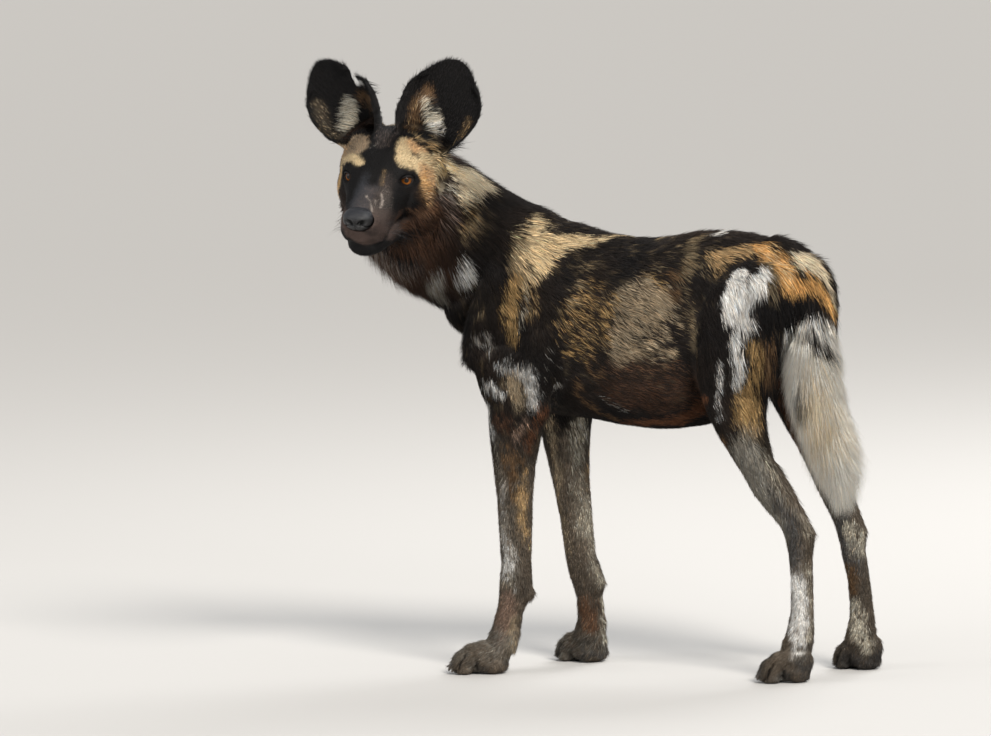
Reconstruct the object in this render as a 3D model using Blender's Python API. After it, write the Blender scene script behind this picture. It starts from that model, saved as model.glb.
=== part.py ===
"""A life-size African wild dog, standing, with its head turned over its left shoulder.

The dog faces -X and its left side is -Y. Sizes are metres. The flesh is built as overlapping
tubes and balls that are melted together, then parted into nodes by thin cuts. The head has its
own axes: forward to the nose, left, and up, with the point between the eyes as its origin.
"""

import math
import random

import bmesh
import bpy
import numpy as np
from mathutils import Matrix, Vector
from mathutils.bvhtree import BVHTree

# Driving sizes
GAP = 0.0003
MIRROR = {"left": -1.0, "right": 1.0}

# The head's place and its turn from straight ahead, all about the point between the eyes
EYES_MIDDLE = (-0.2794, -0.220, 0.7303)
HEAD_TURN = math.radians(100.9)
HEAD_NOD = math.radians(-9.1)
HEAD_ROLL = math.radians(4.5)

# Trunk, chest to rump: x, y, z of the widest level, half width, depth below, height above
TRUNK = (
    (-0.297, 0, 0.497, 0.034, 0.036, 0.036),
    (-0.270, 0, 0.505, 0.058, 0.074, 0.074),
    (-0.225, 0, 0.515, 0.076, 0.110, 0.113),
    (-0.167, 0, 0.519, 0.084, 0.140, 0.138),
    (-0.107, 0, 0.517, 0.090, 0.150, 0.137),
    (-0.047, 0, 0.511, 0.098, 0.150, 0.126),
    (0.012, 0, 0.503, 0.105, 0.152, 0.127),
    (0.062, 0, 0.501, 0.107, 0.153, 0.129),
    (0.112, 0, 0.505, 0.103, 0.149, 0.132),
    (0.153, 0, 0.514, 0.094, 0.140, 0.130),
    (0.194, 0, 0.526, 0.088, 0.116, 0.118),
    (0.234, 0, 0.534, 0.084, 0.094, 0.097),
    (0.264, 0, 0.534, 0.074, 0.077, 0.073),
    (0.291, 0, 0.530, 0.054, 0.054, 0.050),
    (0.306, 0, 0.527, 0.028, 0.030, 0.028),
)
# Neck, shoulders to skull: x, y, z, half width, reach to the nape, reach to the throat
NECK = (
    (-0.060, 0.000, 0.540, 0.030, 0.040, 0.040),
    (-0.105, 0.000, 0.560, 0.064, 0.078, 0.090),
    (-0.159, -0.002, 0.586, 0.070, 0.087, 0.112),
    (-0.215, -0.016, 0.618, 0.071, 0.082, 0.120),
    (-0.262, -0.048, 0.653, 0.070, 0.084, 0.116),
    (-0.287, -0.092, 0.686, 0.066, 0.086, 0.100),
    (-0.294, -0.132, 0.706, 0.062, 0.080, 0.076),
)
# Fill between the neck and the breast: middle and radii
BREAST = ((-0.222, 0.004, 0.556), (0.084, 0.076, 0.086))
# Tail root, out of the rump: x, y, z, half width, reach above, reach below
TAIL_ROOT = (
    (0.225, 0.000, 0.600, 0.036, 0.030, 0.036),
    (0.262, -0.003, 0.592, 0.036, 0.027, 0.034),
    (0.290, -0.010, 0.568, 0.034, 0.027, 0.032),
    (0.301, -0.018, 0.532, 0.034, 0.027, 0.030),
    (0.304, -0.024, 0.495, 0.034, 0.027, 0.028),
)
# Shoulder blade with its muscle, withers to the point of the shoulder
SHOULDER = (
    (-0.088, 0.036, 0.634, 0.014, 0.026, 0.026),
    (-0.122, 0.052, 0.585, 0.024, 0.045, 0.050),
    (-0.168, 0.066, 0.520, 0.029, 0.046, 0.052),
    (-0.203, 0.070, 0.466, 0.028, 0.034, 0.040),
    (-0.203, 0.073, 0.442, 0.022, 0.022, 0.026),
)
# Upper arm, point of the shoulder to the elbow
UPPER_ARM = (
    (-0.196, 0.070, 0.475, 0.026, 0.034, 0.043),
    (-0.164, 0.077, 0.427, 0.032, 0.046, 0.050),
    (-0.138, 0.080, 0.385, 0.032, 0.044, 0.042),
)
# Long head of the triceps, shoulder blade to the point of the elbow
TRICEPS = (
    (-0.080, 0.066, 0.560, 0.018, 0.033, 0.022),
    (-0.094, 0.078, 0.478, 0.024, 0.043, 0.026),
    (-0.107, 0.083, 0.405, 0.022, 0.030, 0.020),
)
# Muscles that fill out the shoulder, behind the blade and before it: middle and radii
SHOULDER_MUSCLES = (
    ((-0.128, 0.064, 0.500), (0.052, 0.030, 0.078)),
    ((-0.176, 0.056, 0.532), (0.058, 0.034, 0.080)),
)
# Foreleg below the elbow: height, half width, reach to the front, reach to the back
FORELEG_GIRTH = (
    (0.400, 0.036, 0.054, 0.042),
    (0.355, 0.033, 0.046, 0.040),
    (0.310, 0.029, 0.037, 0.034),
    (0.260, 0.0245, 0.030, 0.029),
    (0.205, 0.0215, 0.0265, 0.0265),
    (0.155, 0.0200, 0.0250, 0.0250),
    (0.128, 0.0215, 0.0255, 0.0270),
    (0.095, 0.0185, 0.0205, 0.0210),
    (0.060, 0.0210, 0.0210, 0.0230),
    (0.035, 0.0220, 0.0220, 0.0240),
)
FORELEG_X = {
    "left": (-0.140, -0.147, -0.152, -0.154, -0.155, -0.156, -0.159, -0.167, -0.178, -0.187),
    "right": (-0.137, -0.142, -0.141, -0.137, -0.131, -0.126, -0.119, -0.114, -0.113, -0.118),
}
FORELEG_Y = {"left": -0.077, "right": 0.068}
# Hind leg: half width, reach to the front, reach to the back at each place down the leg
HIND_GIRTH = (
    (0.030, 0.050, 0.046),
    (0.046, 0.078, 0.058),
    (0.049, 0.082, 0.056),
    (0.046, 0.064, 0.054),
    (0.040, 0.044, 0.044),
    (0.034, 0.033, 0.032),
    (0.029, 0.028, 0.024),
    (0.025, 0.0255, 0.020),
    (0.021, 0.0225, 0.0180),
    (0.0195, 0.0220, 0.0200),
    (0.0195, 0.0230, 0.0220),
    (0.0180, 0.0200, 0.0200),
    (0.0165, 0.0185, 0.0185),
    (0.0165, 0.0180, 0.0185),
    (0.0180, 0.0195, 0.0190),
    (0.0205, 0.0220, 0.0215),
    (0.0220, 0.0230, 0.0220),
)
HIND_LINE = {
    "left": (
        (0.236, -0.040, 0.590),
        (0.236, -0.060, 0.550),
        (0.223, -0.074, 0.491),
        (0.211, -0.082, 0.431),
        (0.213, -0.085, 0.381),
        (0.227, -0.084, 0.340),
        (0.242, -0.083, 0.308),
        (0.256, -0.081, 0.277),
        (0.280, -0.078, 0.244),
        (0.293, -0.076, 0.224),
        (0.300, -0.075, 0.203),
        (0.300, -0.075, 0.183),
        (0.301, -0.075, 0.152),
        (0.300, -0.075, 0.119),
        (0.299, -0.075, 0.090),
        (0.295, -0.076, 0.064),
        (0.289, -0.077, 0.042),
    ),
    "right": (
        (0.240, 0.040, 0.590),
        (0.242, 0.060, 0.548),
        (0.235, 0.074, 0.488),
        (0.230, 0.082, 0.428),
        (0.238, 0.085, 0.373),
        (0.252, 0.084, 0.333),
        (0.266, 0.081, 0.298),
        (0.279, 0.078, 0.266),
        (0.296, 0.074, 0.231),
        (0.305, 0.072, 0.211),
        (0.312, 0.071, 0.191),
        (0.313, 0.070, 0.171),
        (0.319, 0.070, 0.139),
        (0.322, 0.070, 0.109),
        (0.324, 0.070, 0.083),
        (0.322, 0.071, 0.060),
        (0.319, 0.072, 0.040),
    ),
}
THIGH_FULLNESS = {"left": 1.0, "right": 1.06}
STIFLE, CALF, ABOVE_HOCK, HOCK = 5, 7, 8, 10

# Paws: length and width of the pad area, and how far the toes point outwards
PAWS = {
    "forepaw_left": dict(heel=(-0.176, -0.079), length=0.084, width=0.060, out=8, side="left"),
    "forepaw_right": dict(heel=(-0.099, 0.068), length=0.083, width=0.059, out=24, side="right"),
    "hindpaw_left": dict(heel=(0.309, -0.078), length=0.072, width=0.053, out=12, side="left"),
    "hindpaw_right": dict(heel=(0.342, 0.073), length=0.072, width=0.053, out=20, side="right"),
}
TOE_SPREAD = (-0.35, -0.125, 0.125, 0.35)
TOE_REACH = (0.87, 0.99, 1.0, 0.88)

# Head, nape to nose: forward, left, up of the widest level, half width, depth below, height above
SKULL = (
    (-0.134, 0, -0.012, 0.038, 0.034, 0.022),
    (-0.112, 0, 0.000, 0.055, 0.054, 0.036),
    (-0.082, 0, 0.008, 0.070, 0.074, 0.049),
    (-0.052, 0, 0.005, 0.074, 0.080, 0.050),
    (-0.022, 0, -0.002, 0.068, 0.080, 0.047),
    (0.003, 0, -0.012, 0.055, 0.070, 0.041),
    (0.027, 0, -0.024, 0.043, 0.058, 0.033),
    (0.050, 0, -0.036, 0.037, 0.046, 0.029),
    (0.075, 0, -0.044, 0.0345, 0.038, 0.027),
    (0.094, 0, -0.050, 0.0300, 0.033, 0.023),
    (0.105, 0, -0.054, 0.0220, 0.024, 0.016),
)
LOWER_JAW = (
    (-0.065, 0, -0.056, 0.054, 0.028, 0.016),
    (-0.020, 0, -0.068, 0.045, 0.028, 0.014),
    (0.020, 0, -0.077, 0.037, 0.022, 0.012),
    (0.050, 0, -0.081, 0.032, 0.0185, 0.012),
    (0.074, 0, -0.084, 0.0265, 0.0165, 0.010),
    (0.089, 0, -0.086, 0.0170, 0.0115, 0.007),
)
# Paired swellings of the head: forward, left, up, then radii the same way
HEAD_PAIRS = (
    (-0.036, 0.042, -0.024, 0.050, 0.031, 0.040),
    (-0.055, 0.044, -0.050, 0.046, 0.031, 0.036),
    (-0.008, 0.032, 0.012, 0.030, 0.022, 0.016),
    (0.072, 0.017, -0.058, 0.032, 0.0185, 0.022),
    (-0.072, 0.046, 0.026, 0.030, 0.024, 0.026),
)
EYE_PLACE = (0.002, 0.040, 0.000)
EYE_RADIUS = 0.0118
LID_THICKNESS = 0.0032
EYE_OUTWARD = math.radians(24)
EYE_OPENING = (0.0100, 0.0064)
MOUTH_WIDTH = 0.0016
MOUTH_DEPTH = 0.006
# Line of the mouth on one side: forward, left, up
MOUTH = (
    (0.105, 0.000, -0.0745),
    (0.098, 0.014, -0.0750),
    (0.085, 0.023, -0.0770),
    (0.062, 0.029, -0.0760),
    (0.040, 0.034, -0.0740),
    (0.018, 0.041, -0.0680),
)
NOSE_CENTRE = (0.1015, 0, -0.041)
NOSE_RADII = (0.0150, 0.0215, 0.0155)
NOSTRIL = (0.0090, 0.0034)

# Ears: roots in head axes, greatest half width, depth of the cup, thickness
EARS = {
    "left": dict(root=(-0.070, 0.048, 0.021), splay=math.radians(18.5), height=0.143),
    "right": dict(root=(-0.070, -0.045, 0.032), splay=math.radians(35), height=0.132),
}
EAR_ROOT_INWARD = 0.012
EAR_HALF_WIDTH = 0.0578
EAR_CUP = 0.036
EAR_WALL = 0.0040
EAR_BACK = math.radians(3)
EAR_OUTWARD = math.radians(12)
EAR_SHOULDER = 0.24
EAR_ROWS, EAR_COLUMNS = 8, 10
# The tear in the right ear: middle and radii of each bite, and its slant
TEARS = (
    ((0, 0.068, 0.099), (0.070, 0.0310, 0.0270), 0.0),
    ((0, 0.036, 0.082), (0.070, 0.0045, 0.0145), math.radians(-16)),
)

# Tail brush: the path of its core with its half width, and the locks round it
TAIL_LINE = (
    (0.303, -0.0255, 0.493),
    (0.304, -0.029, 0.457),
    (0.308, -0.032, 0.417),
    (0.318, -0.034, 0.377),
    (0.331, -0.035, 0.336),
    (0.339, -0.036, 0.304),
    (0.344, -0.037, 0.280),
)
TAIL_CORE = (0.030, 0.031, 0.030, 0.028, 0.024, 0.017, 0.009)
TAIL_LOCK_ROWS, TAIL_LOCKS_ROUND = 7, 7
TAIL_LOCK = dict(length=0.076, width=0.028, thickness=0.010, lift=0.38, droop=0.0)
# Ruff of longer fur on the throat and under the cheeks
RUFF_FIRST, RUFF_LAST = 0.46, 0.98
RUFF_LOCK_ROWS, RUFF_LOCKS_ACROSS = 6, 7
RUFF_LOCK = dict(length=0.066, width=0.027, thickness=0.010, lift=0.34, droop=0.16)
RUFF_SPAN = math.radians(170)
RUFF_DOWN = 0.30
LOCK_GIRTH = ((0.0, 0.8), (0.4, 1.0), (0.78, 0.62), (1.0, 0.08))
LOCK_SUNK = 0.14
LOCK_CURL = 0.35
SEED = 11

COLOURS = {
    "dark_coat": (0.030, 0.024, 0.020),
    "tan_coat": (0.42, 0.27, 0.13),
    "grey_coat": (0.22, 0.19, 0.15),
    "white_coat": (0.80, 0.75, 0.66),
    "nose_leather": (0.015, 0.015, 0.017),
    "eye": (0.22, 0.07, 0.015),
}
MELT = {
    "body": dict(voxel=0.0050, rounds=14, triangles=4200),
    "head": dict(voxel=0.0026, rounds=9, triangles=2200),
    "paw": dict(voxel=0.0022, rounds=4, triangles=420),
    "nose": dict(voxel=0.0014, rounds=3, triangles=200),
}


def head_axes():
    """The head's axes as a matrix: columns forward, left, up, and the point between the eyes."""
    forward = Vector((
        -math.cos(HEAD_TURN) * math.cos(HEAD_NOD),
        -math.sin(HEAD_TURN) * math.cos(HEAD_NOD),
        math.sin(HEAD_NOD),
    ))
    level_left = Vector((0, 0, 1)).cross(forward).normalized()
    left = Matrix.Rotation(-HEAD_ROLL, 3, forward) @ level_left
    up = forward.cross(left)
    axes = Matrix((forward, left, up)).transposed().to_4x4()
    return Matrix.Translation(EYES_MIDDLE) @ axes


HEAD = head_axes()


def clear_scene():
    for obj in list(bpy.data.objects):
        bpy.data.objects.remove(obj)


def link(name, bm):
    """A new object of this name from the bmesh, with every face turned outwards."""
    bmesh.ops.recalc_face_normals(bm, faces=bm.faces[:])
    mesh = bpy.data.meshes.new(name)
    bm.to_mesh(mesh)
    bm.free()
    obj = bpy.data.objects.new(name, mesh)
    bpy.context.collection.objects.link(obj)
    return obj


def settle(obj):
    """Applies the object's modifiers."""
    bpy.context.view_layer.update()
    graph = bpy.context.evaluated_depsgraph_get()
    mesh = bpy.data.meshes.new_from_object(obj.evaluated_get(graph))
    obj.modifiers.clear()
    obj.data = mesh
    return obj


def helper(obj):
    """Marks an object as a cutter or a guide."""
    obj.hide_render = True
    obj.display_type = "WIRE"
    return obj


def eased(rows, steps):
    """The rows with others between them, on smooth Catmull-Rom curves."""
    rows = np.array(rows, float)
    padded = np.vstack([2 * rows[0] - rows[1], rows, 2 * rows[-1] - rows[-2]])
    made = []
    for a, b, c, d in zip(padded, padded[1:], padded[2:], padded[3:]):
        for t in np.arange(steps) / steps:
            made.append(b + 0.5 * t * (c - a + t * (2 * a - 5 * b + 4 * c - d + t * (3 * b - a - 3 * c + d))))
    made.append(rows[-1])
    return np.array(made)


def ring_frames(rows, across):
    """For each row, the unit vectors to its side and to its fore side, square to the run of the rows.

    With no vector across, the side is level.
    """
    run = np.gradient(rows[:, :3], axis=0)
    run /= np.linalg.norm(run, axis=1)[:, None]
    side = np.cross(run, (0, 0, 1)) if across is None else np.tile(across, (len(run), 1)).astype(float)
    side -= run * (side * run).sum(1)[:, None]
    side /= np.linalg.norm(side, axis=1)[:, None]
    return side, np.cross(side, run)


def tube(bm, stations, across=(0, 1, 0), sides=24, steps=4, place=Matrix()):
    """Adds a closed tube. A station is x, y, z, half width, reach to the fore side, reach to the aft side."""
    rows = eased(stations, steps)
    side, fore = ring_frames(rows, across)
    rings = []
    for row, out, ahead in zip(rows, side, fore):
        ring = []
        for angle in 2 * math.pi * np.arange(sides) / sides:
            reach = row[4] if math.sin(angle) > 0 else row[5]
            point = row[:3] + out * row[3] * math.cos(angle) + ahead * reach * math.sin(angle)
            ring.append(bm.verts.new(place @ Vector(point)))
        rings.append(ring)
    for ring, after in zip(rings, rings[1:]):
        for k in range(sides):
            following = (k + 1) % sides
            bm.faces.new((ring[k], ring[following], after[following], after[k]))
    bm.faces.new(rings[0])
    bm.faces.new(rings[-1])


def ball(bm, centre, radii, place=Matrix(), detail=3):
    """Adds an ellipsoid."""
    matrix = place @ Matrix.Translation(centre) @ Matrix.Diagonal((*radii, 1))
    bmesh.ops.create_icosphere(bm, subdivisions=detail, radius=1, matrix=matrix)


def mirrored(stations, sign):
    """Stations given for the right side (+Y), put on the side of the sign."""
    return [(x, sign * y, z, *reach) for x, y, z, *reach in stations]


def melted(name, fill, kind):
    """An object whose shapes, added by fill, are melted into one smooth closed surface."""
    bm = bmesh.new()
    fill(bm)
    obj = link(name, bm)
    remesh = obj.modifiers.new("Melt", "REMESH")
    remesh.mode = "VOXEL"
    remesh.voxel_size = MELT[kind]["voxel"]
    smooth = obj.modifiers.new("Smooth", "SMOOTH")
    smooth.factor = 0.5
    smooth.iterations = MELT[kind]["rounds"]
    settle(obj)
    triangles = sum(len(face.vertices) - 2 for face in obj.data.polygons)
    decimate = obj.modifiers.new("Thin", "DECIMATE")
    decimate.ratio = min(1.0, MELT[kind]["triangles"] / triangles)
    decimate.use_collapse_triangulate = True
    return settle(obj)


def block(name, low, high, place=Matrix(), grow=0.0):
    """A box cutter between two corners in the axes of place, grown on every side."""
    bm = bmesh.new()
    low = Vector(low) - Vector((grow,) * 3)
    high = Vector(high) + Vector((grow,) * 3)
    matrix = place @ Matrix.Translation((low + high) / 2) @ Matrix.Diagonal((*(high - low), 1))
    bmesh.ops.create_cube(bm, size=1, matrix=matrix)
    return helper(link(name, bm))


def keep_largest(obj):
    """Drops every closed surface of the object but the one with the most volume."""
    bm = bmesh.new()
    bm.from_mesh(obj.data)
    left = set(bm.faces)
    islands = []
    while left:
        island = {left.pop()}
        edge_of_island = list(island)
        while edge_of_island:
            face = edge_of_island.pop()
            for edge in face.edges:
                for other in edge.link_faces:
                    if other in left:
                        left.discard(other)
                        island.add(other)
                        edge_of_island.append(other)
        islands.append(island)

    def volume(island):
        total = 0.0
        for face in island:
            a, *rest = (v.co for v in face.verts)
            total += sum(a.dot(b.cross(c)) for b, c in zip(rest, rest[1:]))
        return abs(total)

    largest = max(islands, key=volume)
    spare = [face for face in bm.faces if face not in largest]
    bmesh.ops.delete(bm, geom=spare, context="FACES")
    bm.to_mesh(obj.data)
    bm.free()


def carve(obj, cutter, operation="DIFFERENCE"):
    """Applies a Boolean with the cutter, and removes the cutter."""
    boolean = obj.modifiers.new("Cut", "BOOLEAN")
    boolean.operation = operation
    boolean.object = cutter
    settle(obj)
    bpy.data.objects.remove(cutter)
    keep_largest(obj)
    return obj


def join_all(obj, pieces):
    """Applies one Boolean union with all the pieces, and removes them."""
    group = bpy.data.collections.new(obj.name + "_pieces")
    bpy.context.scene.collection.children.link(group)
    for piece in pieces:
        bpy.context.collection.objects.unlink(piece)
        group.objects.link(piece)
    union = obj.modifiers.new("Join", "BOOLEAN")
    union.operation = "UNION"
    union.operand_type = "COLLECTION"
    union.collection = group
    settle(obj)
    for piece in pieces:
        bpy.data.objects.remove(piece)
    bpy.data.collections.remove(group)
    keep_largest(obj)
    return obj


def copy_of(obj, name):
    twin = obj.copy()
    twin.data = obj.data.copy()
    twin.name = name
    bpy.context.collection.objects.link(twin)
    return twin


def swollen(obj, name, amount):
    """A cutter: a copy of the object grown outwards by this amount."""
    twin = helper(copy_of(obj, name))
    push = twin.modifiers.new("Grow", "DISPLACE")
    push.mid_level = 0.0
    push.strength = amount
    return settle(twin)


def take(rest, name, low, high, place=Matrix()):
    """Parts the flesh inside a box from the rest, with a thin gap between them."""
    node = copy_of(rest, name)
    carve(node, block("cutter", low, high, place), "INTERSECT")
    carve(rest, block("cutter", low, high, place, grow=GAP))
    return node


def foreleg_stations(side):
    """The foreleg's centre line and reaches, elbow to toes."""
    y = FORELEG_Y[side]
    return [
        (x, y, height, *reach)
        for x, (height, *reach) in zip(FORELEG_X[side], FORELEG_GIRTH)
    ]


def hind_stations(side):
    """The hind leg's centre line and reaches, hip to toes."""
    stations = [(*centre, *reach) for centre, reach in zip(HIND_LINE[side], HIND_GIRTH)]
    for place in range(STIFLE - 1):
        *start, back = stations[place]
        stations[place] = (*start, back * THIGH_FULLNESS[side])
    return stations


def add_foreleg(bm, side):
    sign = MIRROR[side]
    tube(bm, mirrored(SHOULDER, sign))
    tube(bm, mirrored(UPPER_ARM, sign))
    tube(bm, mirrored(TRICEPS, sign))
    for (x, y, z), radii in SHOULDER_MUSCLES:
        ball(bm, (x, sign * y, z), radii)
    stations = foreleg_stations(side)
    tube(bm, stations)
    elbow_x, elbow_y = stations[0][0], stations[0][1]
    ball(bm, (elbow_x + 0.034, elbow_y + sign * 0.006, 0.390), (0.020, 0.017, 0.030))
    wrist = Vector(stations[6][:3])
    ball(bm, wrist + Vector((0.024, 0, -0.012)), (0.011, 0.011, 0.013))


def add_hind_leg(bm, side):
    stations = hind_stations(side)
    tube(bm, stations)
    calf, above, hock = (Vector(stations[k][:3]) for k in (CALF, ABOVE_HOCK, HOCK))
    heel = hock + Vector((0.014, 0, 0.008))
    tendon = (
        (*(calf + Vector((0.004, 0, 0.030))), 0.014, 0.014, 0.014),
        (*(above + Vector((0.011, 0, 0.018))), 0.0090, 0.0105, 0.0100),
        (*heel, 0.0105, 0.0110, 0.0115),
    )
    tube(bm, tendon)
    ball(bm, heel, (0.0125, 0.0125, 0.0145))


def skull_shapes(bm):
    tube(bm, SKULL, place=HEAD)
    tube(bm, LOWER_JAW, place=HEAD)
    for sign in MIRROR.values():
        for forward, left, up, *radii in HEAD_PAIRS:
            ball(bm, (forward, -sign * left, up), radii, place=HEAD)
        forward, left, up = EYE_PLACE
        ball(bm, (forward, -sign * left, up), (EYE_RADIUS + LID_THICKNESS,) * 3, place=HEAD)


def body_shapes(bm):
    tube(bm, TRUNK, sides=32)
    tube(bm, NECK, across=None, sides=32)
    ball(bm, *BREAST)
    tube(bm, TAIL_ROOT)
    for side in MIRROR:
        add_foreleg(bm, side)
        add_hind_leg(bm, side)
    skull_shapes(bm)


def head_shapes(bm):
    tube(bm, NECK, across=None, sides=32)
    skull_shapes(bm)


def paw_axes(paw):
    """A paw's axes: along to the toes, across, and up, from the middle of its heel on the floor."""
    turn = math.radians(180) - math.radians(paw["out"]) * MIRROR[paw["side"]]
    return Matrix.Translation((*paw["heel"], 0)) @ Matrix.Rotation(turn, 4, "Z")


def paw_shapes(bm, name):
    """The foot's pastern, four close toes with their claws, and the large pad."""
    paw = PAWS[name]
    place = paw_axes(paw)
    length, width = paw["length"], paw["width"]
    leg = foreleg_stations if name.startswith("fore") else hind_stations
    tube(bm, leg(paw["side"])[-4:])
    ball(bm, (length * 0.20, 0, 0.030), (0.0215, 0.0210, 0.0240), place=place)
    ball(bm, (length * 0.34, 0, 0.034), (0.0250, 0.0205, 0.0150), place=place)
    ball(bm, (length * 0.22, 0, 0.014), (length * 0.25, width * 0.42, 0.0165), place=place)
    ball(bm, (length * 0.46, 0, 0.0200), (length * 0.36, width * 0.46, 0.0195), place=place)
    for spread, reach in zip(TOE_SPREAD, TOE_REACH):
        y = spread * width
        tip = length * reach
        toe = (
            (length * 0.26, y * 0.62, 0.034, 0.0090, 0.009, 0.012),
            (tip * 0.55, y * 0.90, 0.031, 0.0100, 0.0095, 0.013),
            (tip * 0.78, y, 0.021, 0.0100, 0.0105, 0.013),
            (tip * 0.90, y * 1.02, 0.012, 0.0090, 0.0100, 0.010),
            (tip * 0.96, y * 1.02, 0.008, 0.0065, 0.0070, 0.007),
        )
        tube(bm, toe, place=place, sides=16)
        ball(bm, (tip * 0.80, y, 0.0065), (0.014, 0.0088, 0.0085), place=place)
        claw = (
            (tip * 0.90, y * 1.02, 0.0150, 0.0042, 0.0046, 0.0046),
            (tip + 0.001, y * 1.03, 0.0115, 0.0034, 0.0038, 0.0038),
            (tip + 0.0060, y * 1.04, 0.0055, 0.0018, 0.0020, 0.0020),
        )
        tube(bm, claw, place=place, sides=12)


def cut_sole(obj):
    """Cuts all below the floor away, which leaves flats on the pads."""
    carve(obj, block("floor", (-1, -1, -0.2), (1, 1, 0)))


def nose_shapes(bm):
    ball(bm, NOSE_CENTRE, NOSE_RADII, place=HEAD)
    forward, left, up = NOSE_CENTRE
    ball(bm, (forward - 0.003, 0, up + 0.004), (0.010, 0.0165, 0.0125), place=HEAD)


def make_nose():
    """The nose leather with its two nostrils, each a slanting comma."""
    nose = melted("nose", nose_shapes, "nose")
    forward, _, up = NOSE_CENTRE
    for sign in MIRROR.values():
        long_radius, short_radius = NOSTRIL
        bm = bmesh.new()
        slit = Matrix.Translation((forward + 0.0105, sign * 0.0105, up - 0.0025))
        slit = HEAD @ slit @ Matrix.Rotation(sign * math.radians(38), 4, "X")
        ball(bm, (0, 0, 0), (0.0065, long_radius * 0.62, short_radius), place=slit, detail=1)
        carve(nose, helper(link("nostril", bm)))
    return nose


def eye_axes(sign):
    """Axes of an eye: its gaze, its long corner-to-corner line, and up."""
    forward, left, up = EYE_PLACE
    place = Matrix.Translation((forward, -sign * left, up))
    return HEAD @ place @ Matrix.Rotation(-sign * EYE_OUTWARD, 4, "Z")


def make_eye(side):
    bm = bmesh.new()
    ball(bm, (0, 0, 0), (EYE_RADIUS,) * 3, place=eye_axes(MIRROR[side]), detail=2)
    return link("eye_" + side, bm)


def open_lids(head, side):
    """Cuts the opening between the lids, then hollows the socket for the eyeball behind it."""
    axes = eye_axes(MIRROR[side])
    half_long, half_high = EYE_OPENING
    mouth_of_socket = (
        (EYE_RADIUS * 0.35, 0, 0, half_long, half_high, half_high),
        (EYE_RADIUS * 3.0, 0, 0, half_long * 1.5, half_high * 1.5, half_high * 1.5),
    )
    bm = bmesh.new()
    tube(bm, mouth_of_socket, place=axes, steps=1)
    carve(head, helper(link("opening", bm)))
    bm = bmesh.new()
    ball(bm, (0, 0, 0), (EYE_RADIUS + 3 * GAP,) * 3, place=axes)
    carve(head, helper(link("socket", bm)))


def cut_mouth(head):
    """Cuts the line of the mouth, a thin slot that runs round the muzzle under the lips."""
    line = eased(MOUTH, 3)
    line = np.vstack([line[:0:-1] * (1, -1, 1), line])
    middle = np.array((0.030, 0, 0))
    outward = line * (1, 1, 0) - middle
    outward /= np.linalg.norm(outward, axis=1)[:, None]
    bm = bmesh.new()
    rings = []
    for point, out in zip(line, outward):
        corners = []
        for reach, rise in ((-1, -0.5), (2, -0.5), (2, 0.5), (-1, 0.5)):
            corner = point + out * reach * MOUTH_DEPTH + np.array((0, 0, rise * MOUTH_WIDTH))
            corners.append(bm.verts.new(HEAD @ Vector(corner)))
        rings.append(corners)
    for ring, after in zip(rings, rings[1:]):
        for k in range(4):
            bm.faces.new((ring[k], ring[(k + 1) % 4], after[(k + 1) % 4], after[k]))
    bm.faces.new(rings[0])
    bm.faces.new(rings[-1])
    carve(head, helper(link("mouth", bm)))


def ear_axes(side):
    """Axes of an ear: the way its cup opens, across it towards the head's left, and up to its tip."""
    sign = MIRROR[side]
    splay = Matrix.Rotation(sign * EARS[side]["splay"], 4, "X")
    back = Matrix.Rotation(-EAR_BACK, 4, "Y")
    outward = Matrix.Rotation(-sign * EAR_OUTWARD, 4, "Z")
    return HEAD @ Matrix.Translation(EARS[side]["root"]) @ splay @ back @ outward


def ear_point(rise, across, height, inward):
    """A point of the ear's back surface: rise from 0 to 1 up the ear, across from -1 to 1 over it.

    Half the width follows part of a sine wave, each level is part of an ellipse whose open side
    is the cup, the root lies towards the crown, and the ends of the upper levels sink, which
    rounds the top.
    """
    half_width = EAR_HALF_WIDTH * math.sin(math.pi * (0.13 + 0.69 * rise)) ** 0.8
    depth = EAR_CUP * (1.0 - 0.75 * rise)
    turn = across * math.pi * (0.62 - 0.16 * rise)
    ahead = depth * (1 - math.cos(turn)) + 0.012 * rise * rise - EAR_CUP * 0.6
    aside = half_width * math.sin(turn) + inward * EAR_ROOT_INWARD * (1 - rise) ** 2
    sunk = EAR_SHOULDER * rise**3 * (1 - math.cos(across * math.pi / 2))
    return Vector((ahead, aside, height * (rise - sunk)))


def make_ear(side, head):
    """One ear: a cupped leaf of even thickness, its root seated on the head."""
    axes = ear_axes(side)
    bm = bmesh.new()
    levels = np.linspace(0, 1, EAR_ROWS)
    spans = np.linspace(-1, 1, EAR_COLUMNS)
    shape = (EARS[side]["height"], MIRROR[side])
    grid = [
        [bm.verts.new(axes @ ear_point(rise, across, *shape)) for across in spans]
        for rise in levels
    ]
    for low, high in zip(grid, grid[1:]):
        for k in range(EAR_COLUMNS - 1):
            bm.faces.new((low[k], low[k + 1], high[k + 1], high[k]))
    ear = link("ear_" + side, bm)
    solid = ear.modifiers.new("Wall", "SOLIDIFY")
    solid.thickness = EAR_WALL
    solid.offset = 0
    settle(ear)
    if side == "right":
        cut_tear(ear, axes)
    carve(ear, swollen(head, "seat", GAP))
    return ear


def cut_tear(ear, axes):
    """The old tear in the right ear: its inner corner is gone, with a narrow notch beside it."""
    for middle, radii, slant in TEARS:
        bm = bmesh.new()
        place = axes @ Matrix.Translation(middle) @ Matrix.Rotation(slant, 4, "X")
        ball(bm, (0, 0, 0), radii, place=place, detail=2)
        carve(ear, helper(link("tear", bm)))


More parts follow.
